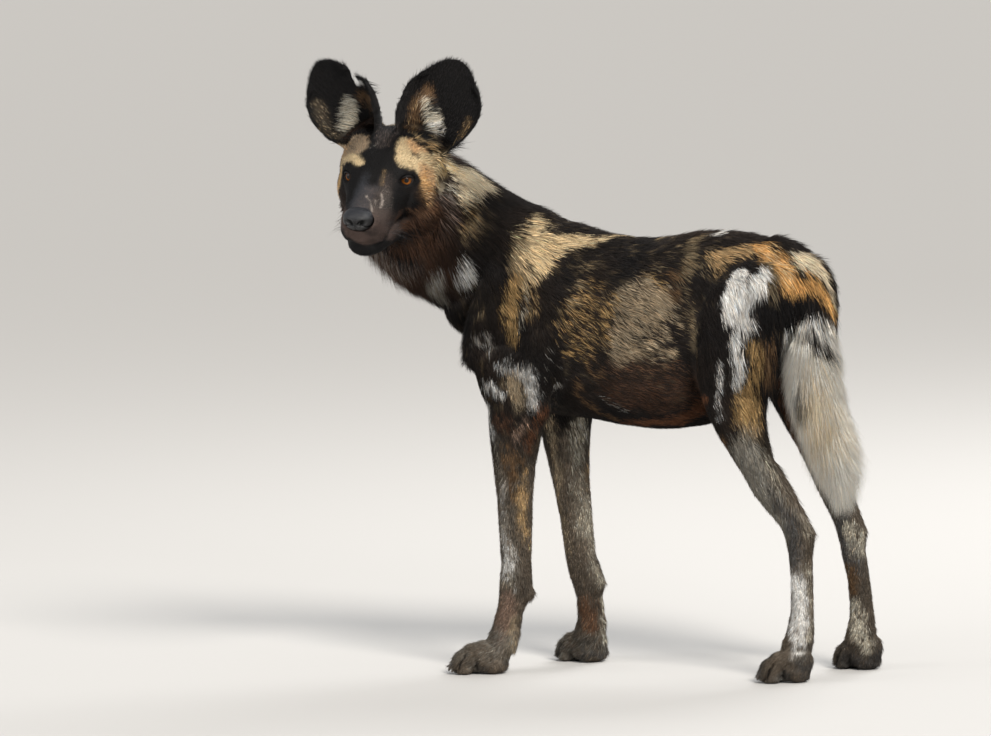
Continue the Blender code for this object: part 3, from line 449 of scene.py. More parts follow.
# rows: shade, joints (x, y, z, radius) in millimetres, then cover and edge where they aren't 1 and 12
BODY_MARKS = (
    # nape
    Mark(Shade.IVORY, ((-236, -114, 745, 15), (-226, -104, 722, 20), (-206, -70, 706, 22),
         (-196, -48, 700, 12))),
    Hairs(Shade.AMBER, ((-236, -114, 742, 13), (-226, -100, 728, 13)), 0.55),
    Hairs(Shade.BONE, ((-226, -114, 700, 15), (-220, -112, 676, 12)), 0.85),
    Mark(Shade.IVORY, ((-214, -100, 694, 15), (-208, -98, 678, 8)), 0.9),
    Mark(Shade.OLIVE, ((-198, -84, 672, 8), (-202, -94, 650, 11), (-206, -98, 630, 9)), 0.7),
    Hairs(Shade.TAN, ((-204, -88, 672, 10), (-208, -98, 645, 9)), 0.25),
    # crown
    Mark(Shade.CREAM, ((-262, -150, 772, 10), (-250, -128, 764, 12)), 0.8),
    # throat
    Hairs(Shade.MAUVE, ((-330, -130, 650, 34), (-300, -120, 600, 34)), 0.55, 14),
    Hairs(Shade.SCAR, ((-345, -110, 640, 26), (-325, -90, 600, 24)), 0.3, 14),
    # jowl
    Hairs(Shade.MAUVE, ((-226, -112, 660, 16), (-232, -118, 640, 16)), 0.6),
    # chest
    Mark(Shade.WHITE, ((-202, -98, 590, 10), (-214, -76, 589, 10), (-222, -74, 575, 13),
         (-207, -101, 576, 13), (-214, -98, 564, 10), (-226, -76, 562, 10))),
    Mark(Shade.STONE, ((-256, -100, 564, 13), (-272, -70, 561, 13), (-276, -66, 544, 11),
         (-262, -92, 547, 11)), 0.9),
    Hairs(Shade.WHITE, ((-252, -104, 570, 9), (-270, -70, 567, 9)), 0.3),
    Mark(Shade.OLIVE, ((-195, -90, 520, 5), (-205, -90, 515, 4)), 0.5),
    Mark(Shade.GREY, ((-255, -65, 485, 7), (-250, -60, 475, 4)), 0.8),
    Mark(Shade.GREY, ((-200, -95, 485, 6), (-185, -95, 485, 6), (-175, -100, 465, 4)), 0.6),
    # shoulder
    Mark(Shade.CREAM, ((-125, -35, 650, 10), (-112, -60, 622, 24), (-100, -75, 595, 20),
         (-108, -80, 575, 10)), 0.93, 16),
    Mark(Shade.CREAM, ((-85, -55, 620, 20), (-60, -45, 622, 17), (-40, -40, 624, 9)), 0.93, 14),
    Mark(Shade.CREAM, ((-40, -40, 625, 6), (-20, -15, 630, 4), (0, 10, 630, 4)), 0.9),
    Mark(Shade.OLIVE, ((-140, -60, 640, 11), (-142, -70, 604, 14), (-135, -80, 570, 15))),
    Hairs(Shade.CREAM, ((-136, -60, 636, 14), (-132, -74, 600, 16), (-122, -84, 566, 16)), 0.5),
    Mark(Shade.GOLD, ((-138, -85, 570, 10), (-145, -90, 540, 12), (-146, -95, 512, 13), (-145, -95, 485, 7)),
         0.78, 14),
    Hairs(Shade.TAN, ((-112, -88, 556, 12), (-112, -92, 520, 10)), 0.45, 14),
    Hairs(Shade.BONE, ((-118, -90, 560, 6), (-124, -92, 530, 6), (-128, -94, 500, 5)), 0.5),
    Mark(Shade.OLIVE, ((-24, -70, 598, 10), (-36, -80, 582, 10), (-30, -85, 566, 8)), 0.5),
    # ribs
    Mark(Shade.OLIVE, ((-45, -95, 550, 14), (-50, -95, 520, 20), (-30, -95, 545, 12)), 0.42),
    Mark(Shade.GOLD, ((-70, -95, 512, 10), (-58, -95, 490, 15), (-65, -90, 468, 11), (-24, -100, 470, 11)),
         0.3),
    Mark(Shade.BROWN, ((-15, -95, 450, 13), (-10, -90, 430, 13)), 0.6),
    # foreleg
    Mark(Shade.GREY, ((-80, -95, 470, 6), (-80, -90, 440, 10), (-80, -75, 415, 10)), 0.35),
    # flank
    Mark(Shade.GREYTAN, ((70, -95, 566, 18), (44, -100, 540, 28), (85, -100, 535, 28), (112, -95, 545, 17)),
         0.9, 18),
    Mark(Shade.GOLD, ((26, -100, 545, 10), (16, -105, 515, 14), (22, -105, 486, 14)), 0.6, 16),
    Hairs(Shade.GOLD, ((-10, -100, 560, 20), (-30, -100, 520, 30), (-25, -100, 480, 24)), 0.28, 16),
    Mark(Shade.GREYTAN, ((55, -105, 510, 30), (38, -105, 470, 22), (72, -105, 484, 24)), 0.8, 16),
    Hairs(Shade.BLACK, ((50, -100, 540, 40), (60, -105, 490, 40)), 0.3, 14),
    Hairs(Shade.RUSTBROWN, ((20, -100, 440, 16), (70, -100, 436, 22), (130, -100, 440, 20)), 0.26, 16),
    # belly
    Hairs(Shade.UMBER, ((10, -80, 400, 22), (80, -80, 400, 32), (150, -80, 410, 28)), 0.6, 18),
    # flank
    Mark(Shade.GREYTAN, ((115, -100, 520, 23), (105, -100, 475, 20)), 0.38),
    Hairs(Shade.GOLD, ((80, -85, 580, 8), (104, -95, 562, 9)), 0.3),
    # back
    Mark(Shade.OLIVE, ((35, -30, 625, 9), (60, -5, 630, 10), (105, -40, 625, 9), (85, -75, 595, 13)), 0.35),
    # belly
    Mark(Shade.BROWN, ((-50, -80, 420, 7), (-45, -65, 395, 7), (-25, -50, 375, 7), (15, -20, 355, 6)), 0.6),
    Mark(Shade.GREY, ((-5, -70, 395, 4), (5, -65, 385, 4), (15, -60, 380, 3)), 0.6),
    Mark(Shade.RUST, ((-5, -30, 360, 7), (65, -40, 360, 13), (135, -50, 380, 13), (175, -115, 405, 9)), 0.8),
    # fold before the hip
    Mark(Shade.OLIVE, ((135, -30, 630, 7), (130, -50, 620, 9), (130, -70, 595, 10), (135, -85, 565, 7),
         (145, -95, 535, 5), (150, -95, 500, 5), (150, -100, 470, 4)), 0.85),
    Mark(Shade.BROWN, ((120, -80, 580, 10), (125, -95, 545, 10)), 0.6),
    # rump
    Mark(Shade.OLIVE, ((150, -70, 595, 7), (160, -80, 580, 7)), 0.5),
    # back
    Mark(Shade.WHITE, ((155, -20, 635, 7), (160, -5, 640, 6))),
    # rump
    Mark(Shade.TAN, ((170, -60, 605, 11), (200, -60, 610, 12), (220, -45, 618, 12), (226, -34, 618, 8)), 0.9),
    Mark(Shade.TAN, ((180, -70, 590, 9), (195, -65, 600, 9)), 0.8),
    Mark(Shade.ORANGE, ((238, -34, 616, 12), (262, -52, 598, 22), (284, -60, 572, 22), (304, -45, 556, 14))),
    Hairs(Shade.CREAM, ((250, -40, 606, 16), (276, -58, 584, 18)), 0.35, 14),
    Mark(Shade.OLIVE, ((260, -70, 595, 10), (275, -90, 565, 12), (280, -90, 540, 9)), 0.85),
    Mark(Shade.IVORY, ((284, -30, 610, 8), (300, -24, 598, 16), (318, -8, 588, 18), (328, 2, 562, 16),
         (330, -4, 536, 10)), 1, 10),
    Mark(Shade.TAN, ((322, 16, 590, 15), (338, 20, 556, 15), (342, 22, 520, 10)), 1, 10),
    Mark(Shade.ORANGE, ((315, -35, 565, 13), (325, -30, 545, 10), (330, -20, 520, 7)), 0.9),
    # the heart on the thigh
    Mark(Shade.WHITE, ((221, -95, 580, 18), (218, -110, 548, 20), (222, -116, 522, 16)), 1, 6),
    Mark(Shade.WHITE, ((258, -88, 586, 13), (255, -105, 558, 17)), 1, 6),
    Mark(Shade.WHITE, ((240, -110, 545, 20), (240, -115, 525, 20), (250, -115, 505, 12))),
    Mark(Shade.WHITE, ((235, -120, 505, 12), (235, -120, 480, 9), (235, -125, 455, 11), (235, -120, 430, 7))),
    # hind leg
    Mark(Shade.WHITE, ((200, -125, 450, 3), (205, -125, 425, 3), (200, -125, 400, 5), (205, -125, 380, 3)),
         0.9),
    Mark(Shade.GOLD, ((260, -110, 480, 9), (260, -105, 450, 10), (250, -110, 430, 9)), 0.8),
    Mark(Shade.GOLD, ((245, -115, 410, 12), (245, -110, 385, 17), (245, -110, 362, 14)), 0.92, 20),
    Mark(Shade.GREYTAN, ((246, -112, 352, 14), (242, -112, 332, 16)), 0.8, 22),
    Mark(Shade.BROWN, ((275, -95, 505, 9), (270, -90, 460, 10), (265, -85, 425, 10)), 0.7),
    Mark(Shade.BROWN, ((200, -115, 345, 6), (205, -105, 325, 6)), 0.8),
    Mark(Shade.STONE, ((236, -115, 326, 24), (245, -105, 290, 22), (265, -100, 255, 21), (285, -90, 210, 18)),
         0.95, 16),
    Hairs(Shade.BONE, ((260, -95, 325, 9), (275, -90, 290, 9), (290, -90, 260, 9), (310, -85, 225, 9),
          (320, -85, 205, 6)), 0.3),
    Mark(Shade.ASH, ((280, -95, 255, 9), (295, -95, 225, 12), (295, -95, 190, 16), (300, -90, 170, 13)),
         0.85),
    Mark(Shade.SLATE, ((265, -100, 280, 4), (280, -100, 260, 6)), 0.8),
    Mark(Shade.WHITE, ((295, -90, 140, 13), (295, -90, 105, 13), (300, -95, 70, 13), (305, -95, 45, 10)),
         0.72),
    Mark(Shade.BONE, ((315, -80, 155, 4), (315, -85, 105, 4), (315, -85, 60, 4)), 0.8),
    # right hind leg
    Mark(Shade.RUST, ((225, 25, 420, 12), (225, 45, 380, 13), (235, 50, 345, 12), (235, 60, 315, 9)), 0.75),
    Mark(Shade.ASH, ((305, 55, 210, 13), (315, 55, 175, 14), (315, 55, 140, 14)), 0.8),
    Mark(Shade.BONE, ((315, 55, 205, 7), (330, 60, 175, 9)), 0.8),
    Mark(Shade.BROWN, ((310, 55, 145, 12), (315, 55, 115, 12)), 0.8),
    Mark(Shade.BONE, ((320, 55, 90, 12), (330, 50, 50, 13), (335, 60, 35, 9)), 0.75),
    # tail and its brush
    Mark(Shade.BLACK, ((270, -100, 525, 13), (290, -75, 525, 20), (310, -50, 530, 20), (325, -40, 515, 10))),
    Mark(Shade.BLACK, ((275, -95, 500, 12), (285, -60, 505, 16))),
    Mark(Shade.WHITE, ((315, -50, 505, 6), (330, -40, 490, 6), (335, -20, 475, 4))),
    Mark(Shade.BLACK, ((318, -56, 482, 12), (330, -42, 470, 12))),
    Mark(Shade.SLATE, ((308, -68, 412, 12), (306, -66, 387, 17), (306, -64, 362, 12)), 0.85),
    Mark(Shade.IVORY, ((330, -60, 440, 12), (326, -62, 390, 16), (334, -50, 330, 14)), 0.7, 30),
    Mark(Shade.SLATE, ((335, -50, 260, 12), (330, -30, 240, 9)), 0.4),
    # foreleg
    Mark(Shade.SILVER, ((-150, -105, 445, 9), (-130, -105, 435, 13), (-115, -100, 440, 12),
         (-112, -105, 415, 11), (-106, -100, 392, 9)), 0.9),
    Hairs(Shade.WHITE, ((-128, -105, 440, 9), (-116, -103, 420, 9)), 0.35),
    Mark(Shade.GREYTAN, ((-140, -105, 425, 12), (-130, -110, 405, 10), (-125, -110, 390, 9)), 0.9),
    Mark(Shade.UMBER, ((-160, -110, 365, 12), (-140, -110, 360, 10)), 0.7),
    Mark(Shade.WHITE, ((-195, -100, 420, 6), (-175, -105, 415, 6), (-155, -110, 405, 4)), 0.85),
    Mark(Shade.WHITE, ((-185, -95, 390, 4), (-185, -95, 370, 5), (-180, -100, 350, 6), (-180, -100, 340, 3)),
         0.8),
    Mark(Shade.RUST, ((-95, -95, 385, 7), (-100, -90, 365, 10), (-115, -90, 335, 10), (-120, -90, 325, 6))),
    Mark(Shade.PINKBROWN, ((-114, -103, 366, 4), (-134, -105, 340, 4)), 0.8, 8),
    Hairs(Shade.BONE, ((-160, -100, 330, 12), (-158, -100, 240, 16), (-158, -95, 130, 14)), 0.24),
    Hairs(Shade.BLACK, ((-150, -105, 330, 18), (-146, -100, 250, 12), (-146, -95, 160, 10)), 0.35),
    Mark(Shade.BROWN, ((-150, -105, 320, 13), (-140, -100, 290, 13), (-145, -100, 255, 12)), 0.55),
    Mark(Shade.TAN, ((-130, -95, 285, 6), (-135, -95, 255, 9), (-130, -90, 215, 7), (-130, -80, 185, 6)),
         0.6),
    Mark(Shade.GREY, ((-160, -100, 270, 6), (-170, -95, 230, 6), (-165, -95, 195, 7), (-165, -95, 165, 9)),
         0.7),
    Mark(Shade.WHITE, ((-160, -95, 185, 6), (-160, -95, 150, 9), (-155, -95, 125, 7)), 0.6),
    Mark(Shade.PINKBROWN, ((-165, -95, 110, 12), (-170, -95, 80, 13), (-175, -100, 50, 12)), 0.85),
    Mark(Shade.GREYTAN, ((-155, -85, 80, 9), (-160, -85, 50, 12), (-170, -80, 30, 9)), 0.7),
    # right foreleg
    Mark(Shade.BROWNGREY, ((-125, 40, 325, 17), (-120, 50, 240, 14), (-115, 50, 165, 13)), 0.6),
    Hairs(Shade.BONE, ((-110, 44, 345, 12), (-108, 51, 268, 15), (-102, 54, 194, 15), (-95, 54, 140, 13),
          (-90, 60, 120, 8)), 0.85, 16),
    Mark(Shade.GREYTAN, ((-155, 40, 350, 6), (-145, 45, 285, 6), (-145, 50, 225, 7), (-140, 50, 165, 6)),
         0.8),
    Mark(Shade.RUSTBROWN, ((-110, 50, 85, 12), (-105, 50, 50, 12)), 0.75),
    # paws
    Mark(Shade.SLATE, ((-190, -79, 22, 24), (-238, -82, 14, 26)), 0.5),
    Mark(Shade.SLATE, ((-112, 72, 20, 24), (-160, 88, 12, 26)), 0.5),
    Mark(Shade.SLATE, ((300, -78, 18, 20), (262, -86, 14, 26)), 0.8),
    Mark(Shade.SLATE, ((338, 74, 16, 20), (300, 84, 14, 26)), 0.8),
    Hairs(Shade.STONE, ((-185, -80, 40, 26), (-240, -88, 18, 26)), 0.5, 10),
    Hairs(Shade.STONE, ((-115, 72, 30, 24), (-165, 88, 14, 26)), 0.45, 10),
    Hairs(Shade.STONE, ((296, -78, 36, 20), (256, -86, 14, 26)), 0.32, 10),
    # right foreleg
    Mark(Shade.BONE, ((-95, 70, 90, 4), (-90, 65, 55, 4), (-95, 75, 30, 4)), 0.7),
)

HEAD_MARKS = (
    # muzzle
    Mark(Shade.MUZZLE, ((95, 20, -45, 17), (70, 32, -52, 19), (45, 32, -62, 17), (22, 38, -62, 14)), 1, 14),
    Mark(Shade.MUZZLE, ((95, -20, -45, 15), (60, -32, -50, 17), (25, -40, -60, 15)), 1, 6),
    Mark(Shade.MUZZLE, ((105, -14, -60, 11), (100, 5, -68, 11), (90, 25, -68, 11)), 1, 5),
    # painted sheen: bluish grey along the top of the muzzle, as sky light on the dark hair
    Mark(Shade.SLATEBLUE, ((98, 0, -24, 15), (80, -4, -17, 17), (60, -6, -8, 16), (40, 0, 6, 15))),
    Hairs(Shade.MAUVE, ((84, 8, -24, 16), (56, 12, -12, 18), (34, 16, 0, 13)), 0.28, 18),
    Hairs(Shade.SCAR, ((85, 22, -35, 12), (60, 25, -25, 12), (48, 22, -12, 9)), 0.1, 8),
    Hairs(Shade.BLACK, ((90, 24, -52, 20), (50, 34, -58, 20)), 0.38),
    # forehead
    Mark(Shade.BLACK, ((44, 2, 5, 12), (20, 6, 22, 13), (0, 7, 38, 12), (-22, 4, 50, 13), (-50, 0, 58, 15))),
    Mark(Shade.CREAM, ((-84, -16, 50, 9), (-88, 8, 50, 9)), 0.9),
    Hairs(Shade.MAUVE, ((-15, 0, 48, 12), (-50, 0, 58, 14)), 0.25, 6),
    Mark(Shade.GREY, ((-5, -12, 40, 4), (-20, -7, 48, 5), (-26, 0, 50, 4)), 0.3, 4),
    Hairs(Shade.TAN, ((26, 17, 14, 3), (36, 16, 5, 3), (44, 14, -3, 3)), 0.22, 5),
    # left side
    Mark(Shade.CREAM, ((-32, 28, 46, 9), (-12, 32, 39, 12), (4, 39, 27, 12), (-6, 54, 20, 13)), 1, 6),
    Mark(Shade.PEACH, ((-34, 38, 45, 9), (-24, 46, 40, 10), (-34, 56, 34, 10)), 1, 8),
    Mark(Shade.CREAM, ((-25, 58, 28, 12), (-36, 66, 12, 15), (-42, 70, -4, 15), (-54, 72, -20, 12)), 1, 7),
    Mark(Shade.PEACH, ((-14, 58, 12, 7), (-24, 66, 2, 9), (-34, 70, -14, 10)), 0.8),
    Mark(Shade.PEACH, ((-11, 62, 3, 8), (-14, 67, -10, 11), (-18, 69, -24, 12), (-26, 69, -40, 10)), 1, 9),
    Hairs(Shade.ORANGE, ((-10, 63, -4, 8), (-16, 68, -26, 9)), 0.55),
    Mark(Shade.CREAM, ((-52, 73, 14, 12), (-70, 72, 4, 15), (-90, 70, -6, 17), (-104, 67, -4, 17))),
    Hairs(Shade.BONE, ((-64, 73, -34, 11), (-82, 74, -42, 13)), 0.6),
    Hairs(Shade.AMBER, ((-82, 71, 0, 14), (-98, 70, -12, 15)), 0.75),
    Hairs(Shade.MAUVE, ((-46, 72, -44, 10), (-62, 74, -50, 12), (-78, 76, -58, 13)), 0.8),
    Hairs(Shade.BROWN, ((-6, 64, -22, 9), (-22, 69, -36, 12), (-40, 72, -40, 10)), 0.42),
    Mark(Shade.OLIVE, ((-56, 40, 52, 10), (-62, 58, 42, 12), (-68, 70, 30, 11)), 0.6),
    Mark(Shade.TAN, ((-58, 50, 46, 9), (-60, 70, 28, 9), (-52, 74, 12, 8)), 0.5),
    # cheeks and jaw
    Mark(Shade.RUSTBROWN, ((22, 42, -56, 9), (2, 52, -56, 11), (-22, 62, -60, 12), (-45, 70, -60, 11)), 0.75),
    Mark(Shade.UMBER, ((0, 42, -70, 12), (-30, 52, -78, 16), (-65, 65, -80, 15), (-80, 85, -80, 15))),
    Mark(Shade.UMBER, ((-20, 10, -110, 15), (-50, 20, -125, 19), (-65, 55, -120, 26), (-70, 80, -115, 20))),
    Mark(Shade.UMBER, ((0, -42, -70, 12), (-40, -55, -90, 22), (-65, -60, -110, 24))),
    # left eye
    Mark(Shade.BLACK, ((36, 39, -16, 9), (18, 49, -26, 11), (6, 56, -36, 9)), 1, 7),
    Mark(Shade.BLACK, ((16, 38, 5, 8), (6, 47, 3, 10), (-2, 57, -5, 5)), 1, 4),
    # right side
    Mark(Shade.SAND, ((-58, -58, 36, 12), (-32, -38, 44, 13), (-8, -32, 38, 11)), 1, 8),
    Mark(Shade.SAND, ((-56, -72, 26, 13), (-26, -60, 26, 15), (-6, -50, 26, 13)), 1, 8),
    Hairs(Shade.PEACH, ((-40, -66, 22, 12), (-20, -62, 14, 11)), 0.7),
    Mark(Shade.CREAM, ((-10, -56, 20, 8), (2, -43, 27, 8), (9, -32, 28, 8), (17, -24, 22, 6)), 1, 6),
    Mark(Shade.CREAM, ((-20, -66, 18, 9), (-8, -64, 2, 9), (-4, -64, -16, 8), (-20, -67, -34, 9)), 1, 6),
    Mark(Shade.ORANGE, ((-8, -63, -2, 5), (-6, -64, -16, 6), (-16, -66, -30, 7)), 0.8),
    # right eye
    Mark(Shade.BLACK, ((20, -30, 10, 8), (12, -44, 2, 11), (8, -53, -10, 8)), 1, 5),
    # scars
    Mark(Shade.SCAR, ((66, -2, -12, 1.2), (76, 8, -17, 1.5), (86, 14, -24, 1.3), (93, 19, -30, 1.0)), 0.8, 2),
    Mark(Shade.SCAR, ((56, 17, -12, 1.2), (66, 24, -20, 2.0), (76, 27, -27, 1.6)), 0.8, 2),
    Mark(Shade.SCAR, ((72, 15, -18, 1.2), (80, 20, -26, 1.4)), 0.7, 2),
    Mark(Shade.PINK, ((22, 41, -50, 1.5), (16, 43, -49, 1.8)), 0.8, 2),
    # lips
    Mark(Shade.BLACK, ((92, -15, -84, 8), (92, 0, -90, 10), (84, 20, -84, 8), (60, 26, -84, 6)), 1, 4),
)

# the insides of the ears, in the head's frame; the black deep in each cup is dark hair and painted shade
EAR_MARKS = (
    # left ear
    # dark hair and painted shade deep in the left ear's cup
    Mark(Shade.BLACK, ((-85, 60, 60, 34), (-85, 80, 110, 44), (-85, 75, 140, 40)), 1, 6),
    Mark(Shade.BROWN, ((-75, 28, 58, 11), (-78, 34, 85, 12), (-84, 46, 108, 9)), 0.85),
    Mark(Shade.TAN, ((-75, 30, 62, 8), (-80, 40, 86, 9)), 0.4),
    Hairs(Shade.BONE, ((-80, 43, 92, 7), (-83, 49, 78, 10), (-84, 54, 62, 12), (-82, 58, 46, 10)), 0.85, 9),
    Hairs(Shade.WHITE, ((-84, 55, 60, 8), (-82, 60, 47, 8)), 0.6, 9),
    Hairs(Shade.TAN, ((-80, 96, 46, 6), (-84, 106, 66, 5)), 0.45),
    # right ear
    # dark hair and painted shade deep in the right ear's cup
    Mark(Shade.BLACK, ((-85, -60, 50, 34), (-88, -95, 95, 46), (-88, -80, 120, 40)), 1, 6),
    Mark(Shade.BROWN, ((-70, -34, 70, 10), (-80, -44, 95, 9)), 0.85),
    Hairs(Shade.BONE, ((-88, -66, 84, 9), (-89, -73, 66, 13), (-88, -78, 48, 12)), 0.85, 9),
    Hairs(Shade.GREYTAN, ((-80, -92, 34, 8), (-86, -108, 52, 8), (-90, -122, 76, 7)), 0.42),
    Mark(Shade.WHITE, ((-75, -48, 118, 5), (-78, -52, 114, 4)), 1, 3),
)

# the dog's right side, which the photograph doesn't show: like patches, placed otherwise
FAR_MARKS = (
    # neck and trunk
    Mark(Shade.CREAM, ((-130, 60, 640, 16), (-105, 75, 605, 24), (-90, 88, 570, 16))),
    Mark(Shade.GOLD, ((-150, 95, 545, 14), (-155, 100, 500, 16), (-140, 102, 460, 10))),
    Mark(Shade.CREAM, ((-235, 10, 690, 18), (-200, 40, 665, 20), (-180, 55, 640, 10))),
    Mark(Shade.GOLD, ((-40, 100, 560, 22), (-20, 108, 520, 26), (-45, 105, 480, 16)), 0.7),
    Mark(Shade.TAN, ((20, 100, 570, 14), (35, 105, 540, 18)), 0.5),
    Mark(Shade.GREYTAN, ((75, 105, 540, 26), (95, 105, 500, 28), (60, 108, 470, 20)), 0.85),
    Mark(Shade.WHITE, ((30, 108, 500, 12), (35, 105, 470, 9)), 0.9),
    Mark(Shade.TAN, ((-20, 90, 430, 12), (40, 80, 415, 14), (80, 75, 410, 10)), 0.6),
    Mark(Shade.TAN, ((60, 70, 605, 16), (100, 75, 600, 14)), 0.6),
    Mark(Shade.TAN, ((180, 60, 605, 14), (215, 65, 605, 18), (250, 60, 590, 14))),
    # hind leg
    Mark(Shade.WHITE, ((215, 110, 555, 16), (235, 112, 530, 22), (225, 118, 495, 14))),
    Mark(Shade.GOLD, ((265, 100, 500, 18), (260, 108, 455, 20), (245, 112, 405, 20)), 0.9),
    Mark(Shade.WHITE, ((200, 118, 440, 6), (205, 115, 400, 7), (215, 110, 370, 5)), 0.8),
    Mark(Shade.GREYTAN, ((235, 105, 330, 22), (255, 95, 290, 20), (275, 90, 250, 16))),
    Mark(Shade.SLATE, ((305, 90, 215, 12), (320, 85, 180, 14)), 0.8),
    # foreleg
    Mark(Shade.WHITE, ((-150, 105, 450, 12), (-125, 108, 425, 14), (-120, 105, 390, 10)), 0.9),
    Mark(Shade.TAN, ((-130, 90, 350, 12), (-125, 85, 300, 12), (-125, 80, 250, 9)), 0.7),
    Mark(Shade.WHITE, ((-125, 75, 170, 10), (-120, 75, 130, 11), (-115, 75, 95, 9)), 0.75),
)


class Markings:
    """The colours of the whole dog: black, with the patches laid over it in order."""

    BODY_BEND, HEAD_BEND, EAR_BEND = 0.0075, 0.0035, 0.004

    def __init__(self, stance: Stance) -> None:
        """Draws the noise that bends and breaks up the patches."""
        self.stance = stance
        self.bend = Grain(SEED, 3)
        self.speck = Grain(SEED + 1)

    def laid(self, base: Points, points: Points, marks: tuple, bending: float,
             dice: Points | None = None) -> Points:
        """Base colours with marks laid over them.

        Args:
            base: linear colours, one a row.
            points: places in metres in the marks' frame.
            marks: the patches, the later over the earlier.
            bending: how far the noise moves their outlines, in metres.
            dice: a number from 0 to 1 for each tuft, or none for the skin.

        Returns:
            The new colours: each mark mixes in by its strength, which a tuft's number makes nearly all or
            nothing, so that hairs of both colours stand along an outline.
        """
        bent = points + bending * (self.bend.at(points, 0.028) + 0.5 * self.bend.at(points + 3, 0.009))
        noise = 0.65 * self.speck.at(points, 0.012) + 0.55 * self.speck.at(points + 2, 0.005)
        speckle = 0.5 + 0.5 * noise[:, 0]
        colours = base
        for mark in marks:
            share = mark.strength(points / MM, bent / MM, speckle)
            if dice is not None:
                share = np.where(share > 0.02, eased(share * 0.94 + 0.5 - dice, 0.38, 0.62), 0)
            colours = blend(colours, mark.shade.rgb, share[:, None])
        return colours

    def at(self, places: Points, normals: Points, dice: Points | None = None) -> Points:
        """The coat's colours at places of the row's frame.

        Args:
            places: one a row.
            normals: of the skin there.
            dice: a number from 0 to 1 for each tuft, or none for the skin.

        Returns:
            Linear colours.
        """
        body = self.stance.body.inwards(places)
        colours = self.laid(self.trunk(body), body, BODY_MARKS + FAR_MARKS, self.BODY_BEND, dice)
        on_head = head_share(self.stance.head.inwards(places))
        near = np.flatnonzero(on_head > 0)
        if len(near):
            local = self.stance.head.inwards(places[near])
            rolled = None if dice is None else dice[near]
            face = self.laid(self.face(local), local, HEAD_MARKS, self.HEAD_BEND, rolled)
            inner = self.laid(face, local, EAR_MARKS, self.EAR_BEND, rolled)
            facing = (normals[near] @ self.stance.head.turn[:, 0])[:, None]
            face = face + (inner - face) * eased(facing, -0.15, 0.2)
            colours[near] = blend(colours[near], face, on_head[near][:, None])
        return colours

    def under(self, places: Points, normals: Points) -> Points:
        """The skin's colours: the coat's, darker between the hairs as painted shade.

        Args:
            places: the skin's vertices.
            normals: their normals.

        Returns:
            The coat's colours times 0.42 as painted shade between the hairs, and more on the face and the
            tail's brush; less, as a painted shadow, in the fold where the hair of the neck begins behind the
            head.
        """
        local = self.stance.head.inwards(places)
        face = eased(local[:, :1], -0.06, 0.0)
        close = eased(-np.linalg.norm(local, axis=1), -0.17, -0.13)[:, None]
        # painted shadow: the skin darkened by up to 0.65 in the fold behind the head
        fold = close * np.exp(-((local[:, :1] + 0.085) / 0.020) ** 2)
        # painted shade: the skin is 0.42 of the coat's colour between the hairs, more on the face and the
        # brush
        share = (0.42 + 0.28 * face + 0.5 * self.brush(self.stance.body.inwards(places))) * (1 - 0.65 * fold)
        return self.at(places, normals) * share

    def trunk(self, body: Points) -> Points:
        """Black with olive flecks, brown low on the legs and in the ruff, and the tail's white brush."""
        base = np.tile(Shade.BLACK.value, (len(body), 1))
        tone = 0.5 + 0.5 * self.speck.at(body + 5, 0.045)
        fleck = eased(self.speck.at(body + 7, 0.007), 0.30, 0.70)
        fleck = 0.30 * fleck * eased(self.speck.at(body + 9, 0.05), -0.3, 0.4)
        base = blend(base, Shade.OLIVE.rgb, fleck)
        base = blend(base, Shade.BROWN.rgb, 0.10 * tone)
        x, z = body[:, 0], body[:, 2]
        ruff = (eased(-x, 0.21, 0.26) * eased(z, 0.52, 0.58))[:, None]
        base = blend(base, Shade.UMBER.rgb, 0.8 * ruff)
        legs = eased(-z, -0.36, -0.26)[:, None] * (0.35 + 0.5 * tone)
        base = blend(base, Shade.BROWNGREY.rgb, legs)
        return blend(base, Shade.MILK.rgb, self.brush(body))

    def brush(self, body: Points) -> Points:
        """0 to 1, in a column, where the tail's white brush hangs."""
        near = eased(chain_reach(body, TAIL_LINE), -0.024, -0.010)
        return (near * eased(-body[:, 2], -0.508, -0.484))[:, None]

    def face(self, local: Points) -> Points:
        """Black, browner on the cheeks."""
        base = np.tile(Shade.BLACK.value, (len(local), 1))
        cheek = (eased(np.abs(local[:, 1]), 0.035, 0.07) * eased(-local[:, 2], 0, 0.05))[:, None]
        return blend(base, Shade.UMBER.rgb, 0.6 * cheek)


# -------- lie of the coat


@dataclass(frozen=True)
class Post:
    """A place in millimetres where the lie of the coat is known: hairs there point along run."""

    place: tuple
    run: tuple
    length: float
    width: float
    depth: float
    rise: float = 0.14


